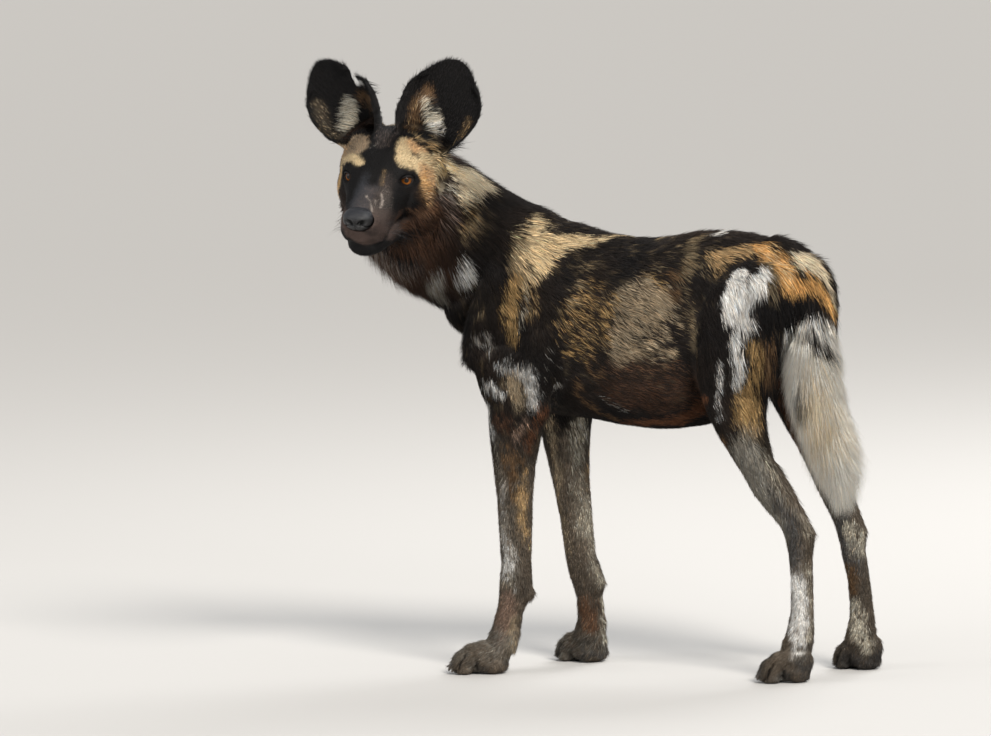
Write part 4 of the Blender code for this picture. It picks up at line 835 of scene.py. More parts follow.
# these stand on both sides: y is the distance from the midline
BODY_POSTS = (
    Post((-110, 0, 650), (1, 0, -0.1), 22, 1.5, 5), Post((0, 0, 640), (1, 0, 0), 20, 1.4, 5),
    Post((120, 0, 640), (1, 0, 0), 20, 1.4, 5), Post((200, 0, 635), (1, 0, -0.3), 20, 1.4, 5),
    Post((270, 0, 600), (0.7, 0, -0.9), 22, 1.5, 5), Post((-120, 90, 590), (0.8, 0, -0.7), 20, 1.4, 5),
    Post((-150, 100, 500), (0.35, 0, -1), 16, 1.3, 4), Post((-120, 105, 420), (0.35, 0, -1), 13, 1.2, 3.5),
    Post((-20, 95, 590), (1, 0, -0.35), 20, 1.4, 5), Post((0, 108, 500), (1, 0, -0.4), 19, 1.4, 5),
    Post((-20, 80, 420), (1, 0, -0.2), 16, 1.3, 4), Post((100, 100, 530), (1, 0, -0.5), 19, 1.4, 5),
    Post((110, 80, 420), (0.9, 0, -0.3), 15, 1.3, 4), Post((190, 80, 600), (0.8, 0, -0.8), 19, 1.4, 5),
    Post((220, 115, 520), (0.5, 0, -1), 17, 1.3, 4.5), Post((290, 90, 520), (0.25, 0, -1), 17, 1.4, 4.5),
    Post((240, 115, 400), (0.3, 0, -1), 14, 1.2, 4), Post((190, 110, 370), (0.35, 0, -1), 11, 1.1, 3),
    Post((250, 100, 300), (0.55, 0, -0.8), 11, 1.0, 2.5), Post((305, 90, 200), (0.15, 0, -1), 9, 1.0, 2.0),
    Post((310, 85, 100), (-0.05, 0, -1), 9, 0.9, 1.6), Post((330, 85, 30), (-0.2, 0, -1), 8, 0.8, 1.0, 0.25),
    Post((275, 80, 20), (-1, 0, -0.35), 4.5, 0.6, 0.6, 0.18),
    Post((-150, 90, 300), (0.1, 0, -1), 11, 1.0, 2.5), Post((-150, 90, 200), (0, 0, -1), 9, 0.9, 2.0),
    Post((-150, 90, 100), (0, 0, -1), 8, 0.9, 1.4), Post((-165, 85, 40), (-0.4, 0, -1), 9, 0.8, 1.0, 0.28),
    Post((-225, 85, 20), (-1, 0, -0.35), 4.5, 0.6, 0.6, 0.18),
    Post((-100, 70, 200), (0.1, 0, -1), 9, 0.9, 2.0), Post((-100, 70, 100), (0, 0, -1), 8, 0.9, 1.4),
    Post((-120, 75, 40), (-0.4, 0, -1), 10, 0.8, 1.0, 0.3),
    Post((-160, 75, 15), (-1, 0, -0.35), 4.5, 0.6, 0.6, 0.18),
    Post((-90, 90, 370), (0.25, 0, -1), 9, 1.0, 2.0), Post((-290, 10, 560), (0.25, 0, -1), 20, 1.4, 3),
    Post((-230, 60, 540), (0.4, 0, -1), 18, 1.4, 3.5), Post((-220, 0, 470), (0.6, 0, -1), 15, 1.3, 4),
    Post((0, 0, 370), (1, 0, 0), 12, 1.2, 3), Post((100, 0, 390), (1, 0, 0.1), 12, 1.2, 3),
    Post((230, 30, 420), (0.3, 0, -1), 9, 1.0, 2.5), Post((250, 40, 320), (0.4, 0, -1), 9, 1.0, 2),
    Post((-120, 30, 380), (0.2, 0, -1), 9, 1.0, 2), Post((320, 60, 150), (0, 0, -1), 9, 0.9, 1.6),
)
# these stand once: the head is turned to the left, and the tail hangs a little askew
NECK_AND_TAIL_POSTS = (
    Post((-265, -110, 740), (0.35, 0.85, -0.35), 24, 1.5, 3, 0.25),
    Post((-215, -50, 690), (0.75, 0.55, -0.4), 26, 1.6, 3, 0.22),
    Post((-170, -10, 670), (0.9, 0.2, -0.3), 24, 1.5, 4),
    Post((-230, -112, 700), (0.7, 0.5, -0.6), 28, 1.6, 3, 0.25),
    Post((-190, -90, 630), (0.75, 0.1, -0.7), 24, 1.5, 3),
    Post((-260, 0, 700), (0.6, 0.6, -0.4), 24, 1.5, 3, 0.2),
    Post((-240, 60, 640), (0.8, 0.3, -0.6), 24, 1.5, 3, 0.2),
    Post((-225, -115, 655), (0.45, 0.2, -0.9), 34, 1.4, 2, 0.3),
    Post((-225, -112, 615), (0.35, 0.2, -1), 38, 1.4, 2, 0.32),
    Post((-300, -60, 640), (0.15, 0.25, -1), 46, 1.4, 2, 0.34),
    Post((-330, -80, 665), (0.05, 0.3, -1), 48, 1.4, 2, 0.36),
    Post((-275, -138, 612), (0.15, 0.1, -1), 46, 1.4, 2, 0.36),
    Post((-320, -140, 640), (0.0, 0.2, -1), 48, 1.4, 2, 0.38),
    Post((-260, -90, 590), (0.3, 0.2, -1), 40, 1.4, 2, 0.32),
    Post((-300, -20, 610), (0.25, 0.15, -1), 40, 1.4, 2, 0.32),
    Post((-270, -50, 545), (0.3, 0.1, -1), 28, 1.6, 3, 0.3),
    Post((-208, -98, 590), (0.35, 0, -1), 20, 1.3, 3, 0.16),
    Post((-252, -102, 565), (0.3, 0.1, -1), 20, 1.3, 3, 0.18),
    Post((280, -62, 486), (-0.35, -0.1, -1), 40, 1.6, 1.5, 0.34),
    Post((303, -60, 500), (0.1, 0, -1), 44, 1.6, 1.5, 0.22),
    Post((303, 5, 500), (0.1, 0, -1), 44, 1.6, 1.5, 0.22),
    Post((305, -60, 430), (0.12, -0.1, -1), 56, 1.7, 1.5, 0.28),
    Post((308, 0, 430), (0.15, 0.1, -1), 56, 1.7, 1.5, 0.34),
    Post((320, -60, 360), (0.3, -0.05, -1), 56, 1.7, 1.5, 0.28),
    Post((330, -5, 360), (0.35, 0.1, -1), 58, 1.7, 1.5, 0.38),
    Post((340, -50, 300), (0.2, 0, -1), 46, 1.6, 1.5, 0.28),
    Post((345, -20, 300), (0.3, 0, -1), 48, 1.6, 1.5, 0.32),
)
# in the head's frame, on both sides
HEAD_POSTS = (
    Post((95, 0, -25), (-1, 0, 0.2), 3, 0.5, 0.6), Post((60, 0, -5), (-1, 0, 0.1), 4, 0.5, 0.8),
    Post((80, 28, -40), (-1, 0.1, -0.15), 3.5, 0.5, 0.7),
    Post((45, 35, -55), (-1, 0.2, -0.2), 4.5, 0.55, 0.9), Post((30, 0, 10), (-1, 0, 0.5), 5, 0.55, 1.0),
    Post((10, 20, 15), (-1, 0.3, 0.5), 5, 0.55, 1.0), Post((0, 40, 28), (-1, 0.5, 0.4), 6, 0.6, 1.0),
    Post((-20, 10, 45), (-1, 0, 0.4), 7, 0.65, 1.3), Post((-55, 10, 60), (-1, 0, 0), 9, 0.8, 1.6),
    Post((-30, 62, 15), (-1, 0.4, -0.2), 8, 0.7, 1.4), Post((0, 60, -25), (-1, 0.3, -0.3), 7, 0.65, 1.3),
    Post((-40, 68, -55), (-1, 0.2, -0.5), 11, 0.8, 1.6), Post((80, 0, -95), (-1, 0, -0.2), 4, 0.5, 0.7),
    Post((30, 20, -108), (-1, 0, -0.3), 7, 0.7, 1.2), Post((-40, 10, -125), (-0.9, 0, -0.6), 14, 1.0, 1.6),
    Post((60, 32, -68), (-1, 0.1, -0.4), 3.5, 0.5, 0.6), Post((20, 40, -75), (-1, 0.2, -0.4), 6, 0.6, 1.0),
    Post((-90, 10, 20), (-1, 0, -0.4), 13, 1.0, 2.0), Post((-95, 65, -20), (-1, 0.2, -0.5), 13, 1.0, 2.0),
    Post((12, 52, 0), (-0.8, 0.8, 0), 3.5, 0.5, 0.7),
)


@dataclass
class Lie:
    """The coat's direction, length, width and depth anywhere, from the posts near a place."""

    stance: Stance
    reach: float = 0.055
    head_reach: float = 0.022
    batch: int = 20000
    posts: Points = field(init=False)
    runs: Points = field(init=False)
    sizes: Points = field(init=False)
    spans: Points = field(init=False)

    def __post_init__(self) -> None:
        """Puts every post into the row's frame, on one side or on both."""
        body, head, rows = self.stance.body, self.stance.head, []
        for posts, axes, sides, span in (
            (BODY_POSTS, body, (1, -1), self.reach), (NECK_AND_TAIL_POSTS, body, (1,), self.reach),
            (HEAD_POSTS, head, (1, -1), self.head_reach),
        ):
            for post in posts:
                for side in sides:
                    flip = np.array((1, side, 1))
                    place = axes.outwards(np.array(post.place) * MM * flip)
                    run = axes.aimed(unit(np.array(post.run, float) * flip))
                    sizes = (post.length * MM, post.width * MM, post.depth * MM, post.rise)
                    rows.append((*place, *run, *sizes, span))
        table = np.array(rows)
        self.posts, self.runs = table[:, :3], table[:, 3:6]
        self.sizes, self.spans = table[:, 6:10], table[:, 10]

    def at(self, places: Points) -> tuple[Points, Points]:
        """The lie and sizes of the coat.

        Args:
            places: of the row's frame.

        Returns:
            Unit directions, and length, width, depth and rise, each the mean of the posts' by the weight
            exp(-(distance / span)^2), with a slow tail so that it never runs out.
        """
        runs, sizes = np.empty((len(places), 3)), np.empty((len(places), 4))
        for start in range(0, len(places), self.batch):
            part = slice(start, start + self.batch)
            square = ((places[part, None] - self.posts) ** 2).sum(-1) / self.spans ** 2
            weight = np.exp(-square) + 1e-4 / (1 + square) ** 2
            weight /= weight.sum(axis=1, keepdims=True)
            runs[part] = weight @ self.runs
            sizes[part] = weight @ self.sizes
        return unit(runs), sizes


# -------- the head's own places


@dataclass(frozen=True)
class Eye:
    """An eye's size and place in the head's frame; side is 1 on the left and -1 on the right."""

    side: int
    centre: tuple = (0.002, 0.0388, -0.0015)
    radius: float = 0.0118
    outward: float = math.radians(24)
    opening: tuple = (0.0098, 0.0062)
    slant: float = math.radians(9)
    hood: float = 0.84

    def axes(self, head: Axes) -> Axes:
        """The eye's own frame: out of the head, towards the outer corner, and up."""
        c, s = math.cos(self.outward), math.sin(self.outward) * self.side
        out, up = np.array((c, s, 0)), np.array((0, 0, 1))
        corner = np.array((-s, c, 0)) * self.side
        tilt = math.cos(self.slant) * corner + math.sin(self.slant) * up
        lift = math.cos(self.slant) * up - math.sin(self.slant) * corner
        middle = np.array(self.centre) * (1, self.side, 1)
        return Axes(head.outwards(middle), head.aimed(np.stack([out, tilt, lift])).T)

    def spread(self, across: Points, up: Points) -> Points:
        """1 on the edge of the opening, less inside: an ellipse with drawn-out corners."""
        a, b = self.opening
        b = np.where(up > 0, b * self.hood, b)
        return np.sqrt((across / a) ** 2 + (up / (b * (1 - 0.28 * (across / a) ** 2).clip(0.35))) ** 2)


@dataclass(frozen=True)
class EarShape:
    """Where an ear stands, in the head's frame."""

    side: int
    root: tuple
    splay: float
    height: float
    tuft: tuple

    def tufted(self, local: Points) -> Points:
        """0 to 1 in the pale tuft inside the ear, from the distance to its line."""
        line = np.array([(x * MM, y * MM, z * MM, 0.010) for x, y, z in self.tuft])
        return eased(chain_reach(local, line), -0.009, 0.003)

    def axis(self) -> Points:
        """The ear's run from root to tip."""
        return np.array((0, self.side * math.sin(self.splay), math.cos(self.splay)))

    def reach(self, local: Points) -> Points:
        """Positive in the ear's blade, above the crown."""
        root = np.array(self.root)
        tip = root + self.axis() * self.height
        blade = chain_reach(local, np.array([(*(root + self.axis() * 0.03), 0.058), (*tip, 0.052)]))
        rise = (local - root) @ self.axis()
        return np.minimum(blade, rise - 0.026)


EYES = (Eye(1), Eye(-1))
EARS = {
    "ear_left": EarShape(1, (-0.070, 0.048, 0.021), math.radians(18.5), 0.143,
                         ((-80, 40, 90), (-84, 46, 68), (-83, 52, 47))),
    "ear_right": EarShape(-1, (-0.070, -0.045, 0.032), math.radians(35), 0.132,
                          ((-88, -60, 86), (-88, -67, 66), (-88, -73, 48))),
}
MOUTH = ((105, 0, -74.5), (98, 14, -75), (85, 23, -77), (62, 29, -76), (40, 34, -74), (18, 41, -68))


def mouth_gap(local: Points) -> Points:
    """Distance to the line of the mouth, on either side, in metres."""
    folded = np.abs(local * (0, 1, 0)) + local * (1, 0, 1)
    return -chain_reach(folded, np.array([(x * MM, y * MM, z * MM, 0) for x, y, z in MOUTH]))


def ear_reach(local: Points) -> Points:
    """Positive in the blade of either ear."""
    return np.maximum(*(ear.reach(local) for ear in EARS.values()))


def head_share(local: Points) -> Points:
    """0 on the neck to 1 on the head, ears included."""
    near = np.linalg.norm(local, axis=1) < 0.2
    return np.maximum(eased(local[:, 0], -0.105, -0.065) * near, ear_reach(local) > 0)


# -------- finishes


def value_node(tree: bpy.types.NodeTree, kind: str, **settings: object) -> bpy.types.Node:
    """A node with its input sockets or properties set by name."""
    node = tree.nodes.new(kind)
    for key, value in settings.items():
        if hasattr(node, key):
            setattr(node, key, value)
        else:
            node.inputs[key.replace("_", " ")].default_value = value
    return node


@dataclass(frozen=True)
class Finish:
    """A surface coloured by its own attribute and broken up by fine noise, with bump."""

    name: str
    roughness: float = 0.6
    specular: float = 0.4
    grain: float = 900.0
    depth: float = 0.0
    uneven: float = 0.15

    def made(self) -> bpy.types.Material:
        """The material.

        Returns:
            Principled, its colour the attribute times 1 - uneven + 2 uneven noise(object place), its
            roughness within 15% of the given one by the same noise, its bump a finer noise.
        """
        material = bpy.data.materials.new(self.name)
        material.use_nodes = True
        tree = material.node_tree
        shader = tree.nodes["Principled BSDF"]
        place = tree.nodes.new("ShaderNodeTexCoord")
        colour = value_node(tree, "ShaderNodeAttribute", attribute_name=COLOURS)
        broad = value_node(tree, "ShaderNodeTexNoise", Scale=self.grain * 0.22, Detail=3.0)
        share = value_node(tree, "ShaderNodeMapRange", To_Min=1 - self.uneven, To_Max=1 + self.uneven)
        mixed = value_node(tree, "ShaderNodeVectorMath", operation="MULTIPLY")
        rough = value_node(tree, "ShaderNodeMapRange", To_Min=self.roughness * 0.85,
                           To_Max=min(1.0, self.roughness * 1.15))
        links = [(place, "Object", broad, "Vector"), (broad, "Fac", share, "Value"),
                 (colour, "Color", mixed, 0), (share, "Result", mixed, 1),
                 (mixed, "Vector", shader, "Base Color"), (broad, "Fac", rough, "Value"),
                 (rough, "Result", shader, "Roughness")]
        if self.depth:
            fine = value_node(tree, "ShaderNodeTexNoise", Scale=self.grain, Detail=4.0)
            bump = value_node(tree, "ShaderNodeBump", Strength=0.6, Distance=self.depth)
            links += [(place, "Object", fine, "Vector"), (fine, "Fac", bump, "Height"),
                      (bump, "Normal", shader, "Normal")]
        for source, out, target, into in links:
            tree.links.new(source.outputs[out], target.inputs[into])
        shader.inputs["Specular IOR Level"].default_value = self.specular
        return material


SKIN_FINISH = Finish("coat_skin", roughness=0.7, specular=0.10, grain=700, depth=0.0006)
TUFT_FINISH = Finish("coat_hair", roughness=0.62, specular=0.09, grain=260, uneven=0.12)
NOSE_FINISH = Finish("nose_wet", roughness=0.38, specular=0.42, grain=1000, depth=0.0016, uneven=0.3)
LID_FINISH = Finish("lid_edge", roughness=0.55, specular=0.15, grain=1200, depth=0.0002)
EYE_FINISH = Finish("eye_wet", roughness=0.03, specular=0.22, grain=2200, uneven=0.1)
CLAW_FINISH = Finish("claw_horn", roughness=0.42, specular=0.5, grain=800, depth=0.0002, uneven=0.3)


def finished(obj: Piece, finish: Finish) -> Piece:
    """Gives a piece its finish and its body."""
    obj.data.materials.append(bpy.data.materials.get(finish.name) or finish.made())
    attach(obj, "root")
    return obj


# -------- paws


@dataclass(frozen=True)
class Paw:
    """A paw's heel on the floor, its size and how far it points outwards."""

    heel: tuple
    length: float
    width: float
    outward: float
    side: int
    filled: bool = False
    spread: tuple = (-0.35, -0.125, 0.125, 0.35)
    reach: tuple = (0.87, 0.99, 1.0, 0.88)
    clefts: tuple = (-0.237, 0, 0.237)
    groove: float = 0.0068
    knuckle: float = 0.0062

    def axes(self) -> tuple[Points, Points, Points]:
        """The heel, the direction of the toes and the direction across them, in the body frame."""
        turn = math.pi - math.radians(self.outward) * self.side
        return (np.array((*self.heel, 0)), np.array((math.cos(turn), math.sin(turn), 0)),
                np.array((-math.sin(turn), math.cos(turn), 0)))

    def heel_fill(self) -> tuple[Points, Points]:
        """A short tube that carries the back of the pastern down into the heel."""
        heel, fore, side = self.axes()
        profile = ((0.006, 0.058, 0.015), (0.006, 0.044, 0.017), (0.009, 0.030, 0.017), (0.013, 0.019, 0.015))
        rows = [(*(heel + fore * along + (0, 0, level)), *[half] * 3) for along, level, half in profile]
        return lofted(rows, side, 24, 5)

    def own(self, body: Points) -> tuple[Points, Points, Points]:
        """Shares of the paw's length and width at places of the body frame, and 0 to 1 on its toes."""
        heel, fore, side = self.axes()
        x = (body - heel) @ fore / self.length
        y = (body - heel) @ side / self.width / (0.72 + 0.30 * np.clip(x, 0, 1))
        near = eased(x, 0.42, 0.62) * (x < 1.15) * (body[:, 2] < 0.05) * (np.abs(y) < 0.7)
        return x, y, near * eased(body[:, 2], 0.002, 0.008)

    def cleft(self, body: Points, width: float = 0.0030) -> Points:
        """How much of a place lies in a cleft of the paw.

        Args:
            body: places of the body frame.
            width: half the width of a cleft, in metres.

        Returns:
            0 to 1: exp(-(distance / width)^2) from the clefts between the four toes, and on the two sides
            from the line where the outer toe ends before the next one and the notch between toe and heel.
        """
        x, y, near = self.own(body)
        z = body[:, 2]
        between = near * sum(np.exp(-((y - middle) * self.width / width) ** 2) for middle in self.clefts)
        ahead = np.exp(-((x - 0.84 + z / 0.15) * self.length / width) ** 2) * eased(-z, -0.034, -0.026)
        behind = np.exp(-((x - 0.50 + z / 0.30) * self.length / width) ** 2) * eased(-z, -0.024, -0.014)
        beside = eased(np.abs(y), 0.22, 0.34) * (np.abs(y) < 0.8) * eased(z, 0.001, 0.005)
        beside = beside * (x > 0.2) * (x < 1.15)
        return np.maximum(between, beside * np.maximum(ahead, behind))

    def relief(self, body: Points) -> Points:
        """How deep the clefts between the toes are, less the height of the knuckles.

        Args:
            body: places of the body frame.

        Returns:
            Metres inwards: groove times cleft, less humps h exp(-(distance / size)^2) over the two joints of
            each toe, h being 0.0022 and 0.0016.
        """
        x, y, near = self.own(body)
        humps = np.zeros(len(body))
        for across, far in zip(self.spread, self.reach):
            beside = ((y - across) * self.width / self.knuckle) ** 2
            humps += 0.0022 * np.exp(-beside - ((x - far * 0.66) / 0.09) ** 2)
            humps += 0.0016 * np.exp(-beside - ((x - far * 0.90) / 0.07) ** 2)
        return self.groove * self.cleft(body) - near * humps * (body[:, 2] > 0.012)


PAWS = (
    Paw((-0.176, -0.079), 0.084, 0.060, 8, -1, filled=True), Paw((-0.099, 0.068), 0.083, 0.059, 24, 1),
    Paw((0.309, -0.078), 0.072, 0.053, 12, -1), Paw((0.342, 0.073), 0.072, 0.053, 20, 1),
)


# -------- skin


# stations of the cores: x, y, z, half width, reach to the fore side and to the aft side, in metres
NECK = (
    (-0.060, 0, 0.540, 0.030, 0.040, 0.040), (-0.105, 0, 0.560, 0.064, 0.078, 0.090),
    (-0.159, -0.002, 0.586, 0.070, 0.087, 0.112), (-0.215, -0.016, 0.618, 0.071, 0.082, 0.120),
    (-0.262, -0.048, 0.653, 0.070, 0.084, 0.116), (-0.287, -0.092, 0.686, 0.066, 0.086, 0.100),
    (-0.294, -0.132, 0.706, 0.062, 0.080, 0.076),
)
BREAST = ((-0.222, 0.004, 0.556), (0.084, 0.076, 0.086))  # centre and radii
TAIL = (
    (0.304, -0.024, 0.530, 0.020, 0.020, 0.020), (0.303, -0.0255, 0.493, 0.030, 0.028, 0.028),
    (0.304, -0.029, 0.457, 0.030, 0.029, 0.029), (0.308, -0.032, 0.417, 0.029, 0.028, 0.028),
    (0.318, -0.034, 0.377, 0.027, 0.026, 0.026), (0.331, -0.035, 0.336, 0.023, 0.022, 0.022),
    (0.339, -0.036, 0.304, 0.016, 0.016, 0.016), (0.344, -0.037, 0.280, 0.008, 0.008, 0.008),
)
TAIL_LINE = np.array(TAIL)[:, :4]
FLESH = (
    "torso", "head", "ear_left", "ear_right", "foreleg_left", "foreleg_right", "forepaw_left",
    "forepaw_right", "thigh_left", "thigh_right", "shank_left", "shank_right", "metatarsus_left",
    "metatarsus_right", "hindpaw_left", "hindpaw_right", "tail_root",
)


@dataclass
class Skin:
    """One closed skin for the whole dog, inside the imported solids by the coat's depth."""

    stance: Stance
    lie: Lie
    voxel: float = 0.0023
    swell: float = 0.0006
    limit: int = 188000
    ear_depth: float = 0.0006
    lowest: float = 0.0002
    lid: float = 0.0013
    places: Points = field(init=False)
    faces: Points = field(init=False)
    normals: Points = field(init=False)

    def shells(self) -> tuple[Points, Points]:
        """Vertices and triangles of every node of flesh, swollen over the cuts, with neck and tail cores."""
        parts = []
        for name in FLESH:
            places, faces = welded(*mesh_arrays(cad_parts[name].data))
            parts.append((places + self.swell * vertex_normals(places, faces), faces))
        body = self.stance.body
        for places, faces in (
            lofted(NECK, (0, 1, 0), 40, 6), ellipsoid(*BREAST), lofted(TAIL, (0, 1, 0), 28, 6),
            *(paw.heel_fill() for paw in PAWS if paw.filled),
        ):
            parts.append((body.outwards(places), faces))
        counts = np.cumsum([0] + [len(places) for places, _ in parts])
        return (np.vstack([places for places, _ in parts]),
                np.vstack([faces + count for (_, faces), count in zip(parts, counts)]))

    def build(self) -> Piece:
        """Melts the shells into one surface, smooths it, sinks it and shapes the face."""
        union = mesh_object("union", *self.shells())
        remesh = union.modifiers.new("Melt", "REMESH")
        remesh.mode = "VOXEL"
        remesh.voxel_size = self.voxel * 1
        places, faces = evaluated(union)
        LOG.info("skin: %d triangles melted", len(faces))
        places = self.smoothed(places, faces)
        places = self.sunk(places, faces)
        places = self.faced(places)
        shell = mesh_object("coat_skin", places, faces)
        if len(faces) > self.limit:
            self.thin(shell, len(faces))
            places, faces = evaluated(shell)
            shell = mesh_object("coat_skin", places, faces)
        self.places, self.faces = places, faces
        self.normals = vertex_normals(places, faces)
        LOG.info("skin: %d triangles kept", len(faces))
        return shell

    def thin(self, shell: Piece, count: int) -> None:
        """Thins the trunk more than the head, down to the limit."""
        group = shell.vertex_groups.new(name="thin")
        local = self.stance.head.inwards(mesh_arrays(shell.data)[0])
        group.add([int(i) for i in np.flatnonzero(head_share(local) < 0.5)], 1.0, "REPLACE")
        thin = shell.modifiers.new("Thin", "DECIMATE")
        thin.ratio = self.limit / count
        thin.vertex_group = "thin"

    def smoothed(self, places: Points, faces: Points) -> Points:
        """Takes the facets off by pairs of passes, one that shrinks and one that swells.

        Args:
            places: vertices.
            faces: triangles.

        Returns:
            Vertices after passes p + f (mean of neighbours - p), f being 0.5 and then -0.53, each vertex
            taking part in as many as its share allows: few on the head and the paws, all where an ear
            joins the crown.
        """
        edges = np.sort(np.vstack([faces[:, :2], faces[:, 1:], faces[:, ::2]]), axis=1)
        edges = np.unique(edges[:, 0].astype(np.int64) * len(places) + edges[:, 1])
        a, b = edges // len(places), edges % len(places)
        ends, others = np.concatenate([a, b]), np.concatenate([b, a])
        degree = np.bincount(ends, minlength=len(places))[:, None]
        local = self.stance.head.inwards(places)
        level = self.stance.body.inwards(places)[:, 2]
        share = 1 - 0.62 * head_share(local)
        share = np.maximum(share, eased(-np.abs(ear_reach(local) + 0.008), -0.022, -0.012))
        share = np.minimum(share, 0.12 + 0.88 * eased(level, 0.040, 0.12))
        rounds = 28
        for turn in range(rounds):
            active = (turn + 0.5 < share * rounds)[:, None]
            for factor in (0.5, -0.53):
                total = np.stack([np.bincount(ends, places[others, k], len(places)) for k in range(3)], 1)
                places = places + np.where(active, factor, 0) * (total / degree - places)
        return places

    def sunk(self, places: Points, faces: Points) -> Points:
        """Moves the skin in by the coat's depth, and never under the soles."""
        normals = vertex_normals(places, faces)
        depth = self.lie.at(places)[1][:, 2]
        depth = np.where(ear_reach(self.stance.head.inwards(places)) > -0.004, self.ear_depth, depth)
        body = self.stance.body.inwards(places)
        depth = depth * eased(body[:, 2], 0.001, 0.012) + self.swell
        for paw in PAWS:
            depth = depth + paw.relief(body)
        places = places - depth[:, None] * normals
        places[:, 2] = np.maximum(places[:, 2], self.lowest)
        return places

    def faced(self, places: Points) -> Points:
        """Shapes the sockets, the lids and the line of the mouth.

        Args:
            places: vertices.

        Returns:
            Vertices moved along the ray from an eyeball's middle, in the opening to inside the ball and
            round it to the lid's thickness outside, and by the mouth out on the lips and in on the line.
        """
        head = self.stance.head
        for eye in EYES:
            axes = eye.axes(head)
            own = axes.inwards(places)
            radius = np.linalg.norm(own, axis=1)
            near = (radius < 0.024) & (own[:, 0] > 0.001)
            spread = eye.spread(own[:, 1], own[:, 2])
            cover = eye.radius + self.lid + 0.0012 * eased(spread, 1.05, 1.5)
            cover = cover - 0.004 * eased(spread, 2.0, 3.0)
            raised, lowered = np.maximum(radius, cover), np.minimum(radius, eye.radius - 0.0016)
            lip = eased(spread, 0.98, 1.12)
            wanted = np.where(spread < 1.12, lip * raised + (1 - lip) * lowered, raised)
            moved = axes.outwards(own * (wanted / np.maximum(radius, 1e-9))[:, None])
            places = np.where(near[:, None], moved, places)
        local = head.inwards(places)
        gap = mouth_gap(local)
        near = gap < 0.008
        inward = unit(local * (0.15, 1, 0.2) - (0.02, 0, -0.01))
        lips = 0.0007 * np.exp(-((gap - 0.0038) / 0.0022) ** 2) - 0.0016 * np.exp(-(gap / 0.0016) ** 2)
        local = local + np.where(near, lips, 0)[:, None] * inward
        return head.outwards(local)


# -------- coat


@dataclass(frozen=True)
class Patch:
    """One piece of the coat.

    It has this many tufts, longer, wider and steeper by factors than the posts say, of at most so many metres
    before that. Stray turns them, vary and mottle make them lighter or darker, singly and in locks, and ends
    are the shades of root and tip.
    """

    name: str
    tufts: int
    slot: str
    long: float = 1.0
    wide: float = 1.0
    rise: float = 1.0
    stray: float = 0.20
    vary: float = 0.26
    most: float = 1.0
    mottle: float = 0.26
    ends: tuple = (0.72, 1.30)


# a tuft: two root corners, a ridge and the tip; its four faces; its place on the map, and 1 at its tip
TUFT_FACES = np.array(((0, 2, 1), (0, 1, 3), (1, 2, 3), (2, 0, 3)))
TUFT_MAP = 0.0014 * np.array(((-1, -1), (1, -1 / 3), (0, 1 / 3), (0, 1)))
TUFT_TIP = np.array((0, 0, 0, 1))


def spikes(roots: Points, along: Points, across: Points, out: Points, length: Points, width: Points,
           rise: Points, curl: Points) -> tuple[Points, Points]:
    """Closed tapered tufts, three-sided, with a ridge on top.

    Args:
        roots: places on the skin.
        along: unit lie of each tuft.
        across: unit direction of its width.
        out: unit normal of the skin.
        length: of each tuft.
        width: at the root.
        rise: slope away from the skin.
        curl: sideways bend, in lengths.

    Returns:
        Vertices: foot - across w/2, foot + across w/2 and foot + 0.45 w out, where the foot is the root, a
        little sunk, and the tip root + L (along + rise out + curl across). Triangles.
    """
    length, width, rise, curl = (value[:, None] for value in (length, width, rise, curl))
    foot = roots - out * (0.0006 + 0.1 * width)
    tip = roots + length * (along + out * rise + across * curl)
    ends = (foot - across * width / 2, foot + across * width / 2, foot + out * width * 0.45, tip)
    places = np.stack(ends, 1).reshape(-1, 3)
    first = np.arange(len(roots)) * len(ends)
    return places, (TUFT_FACES[None] + first[:, None, None]).reshape(-1, 3)


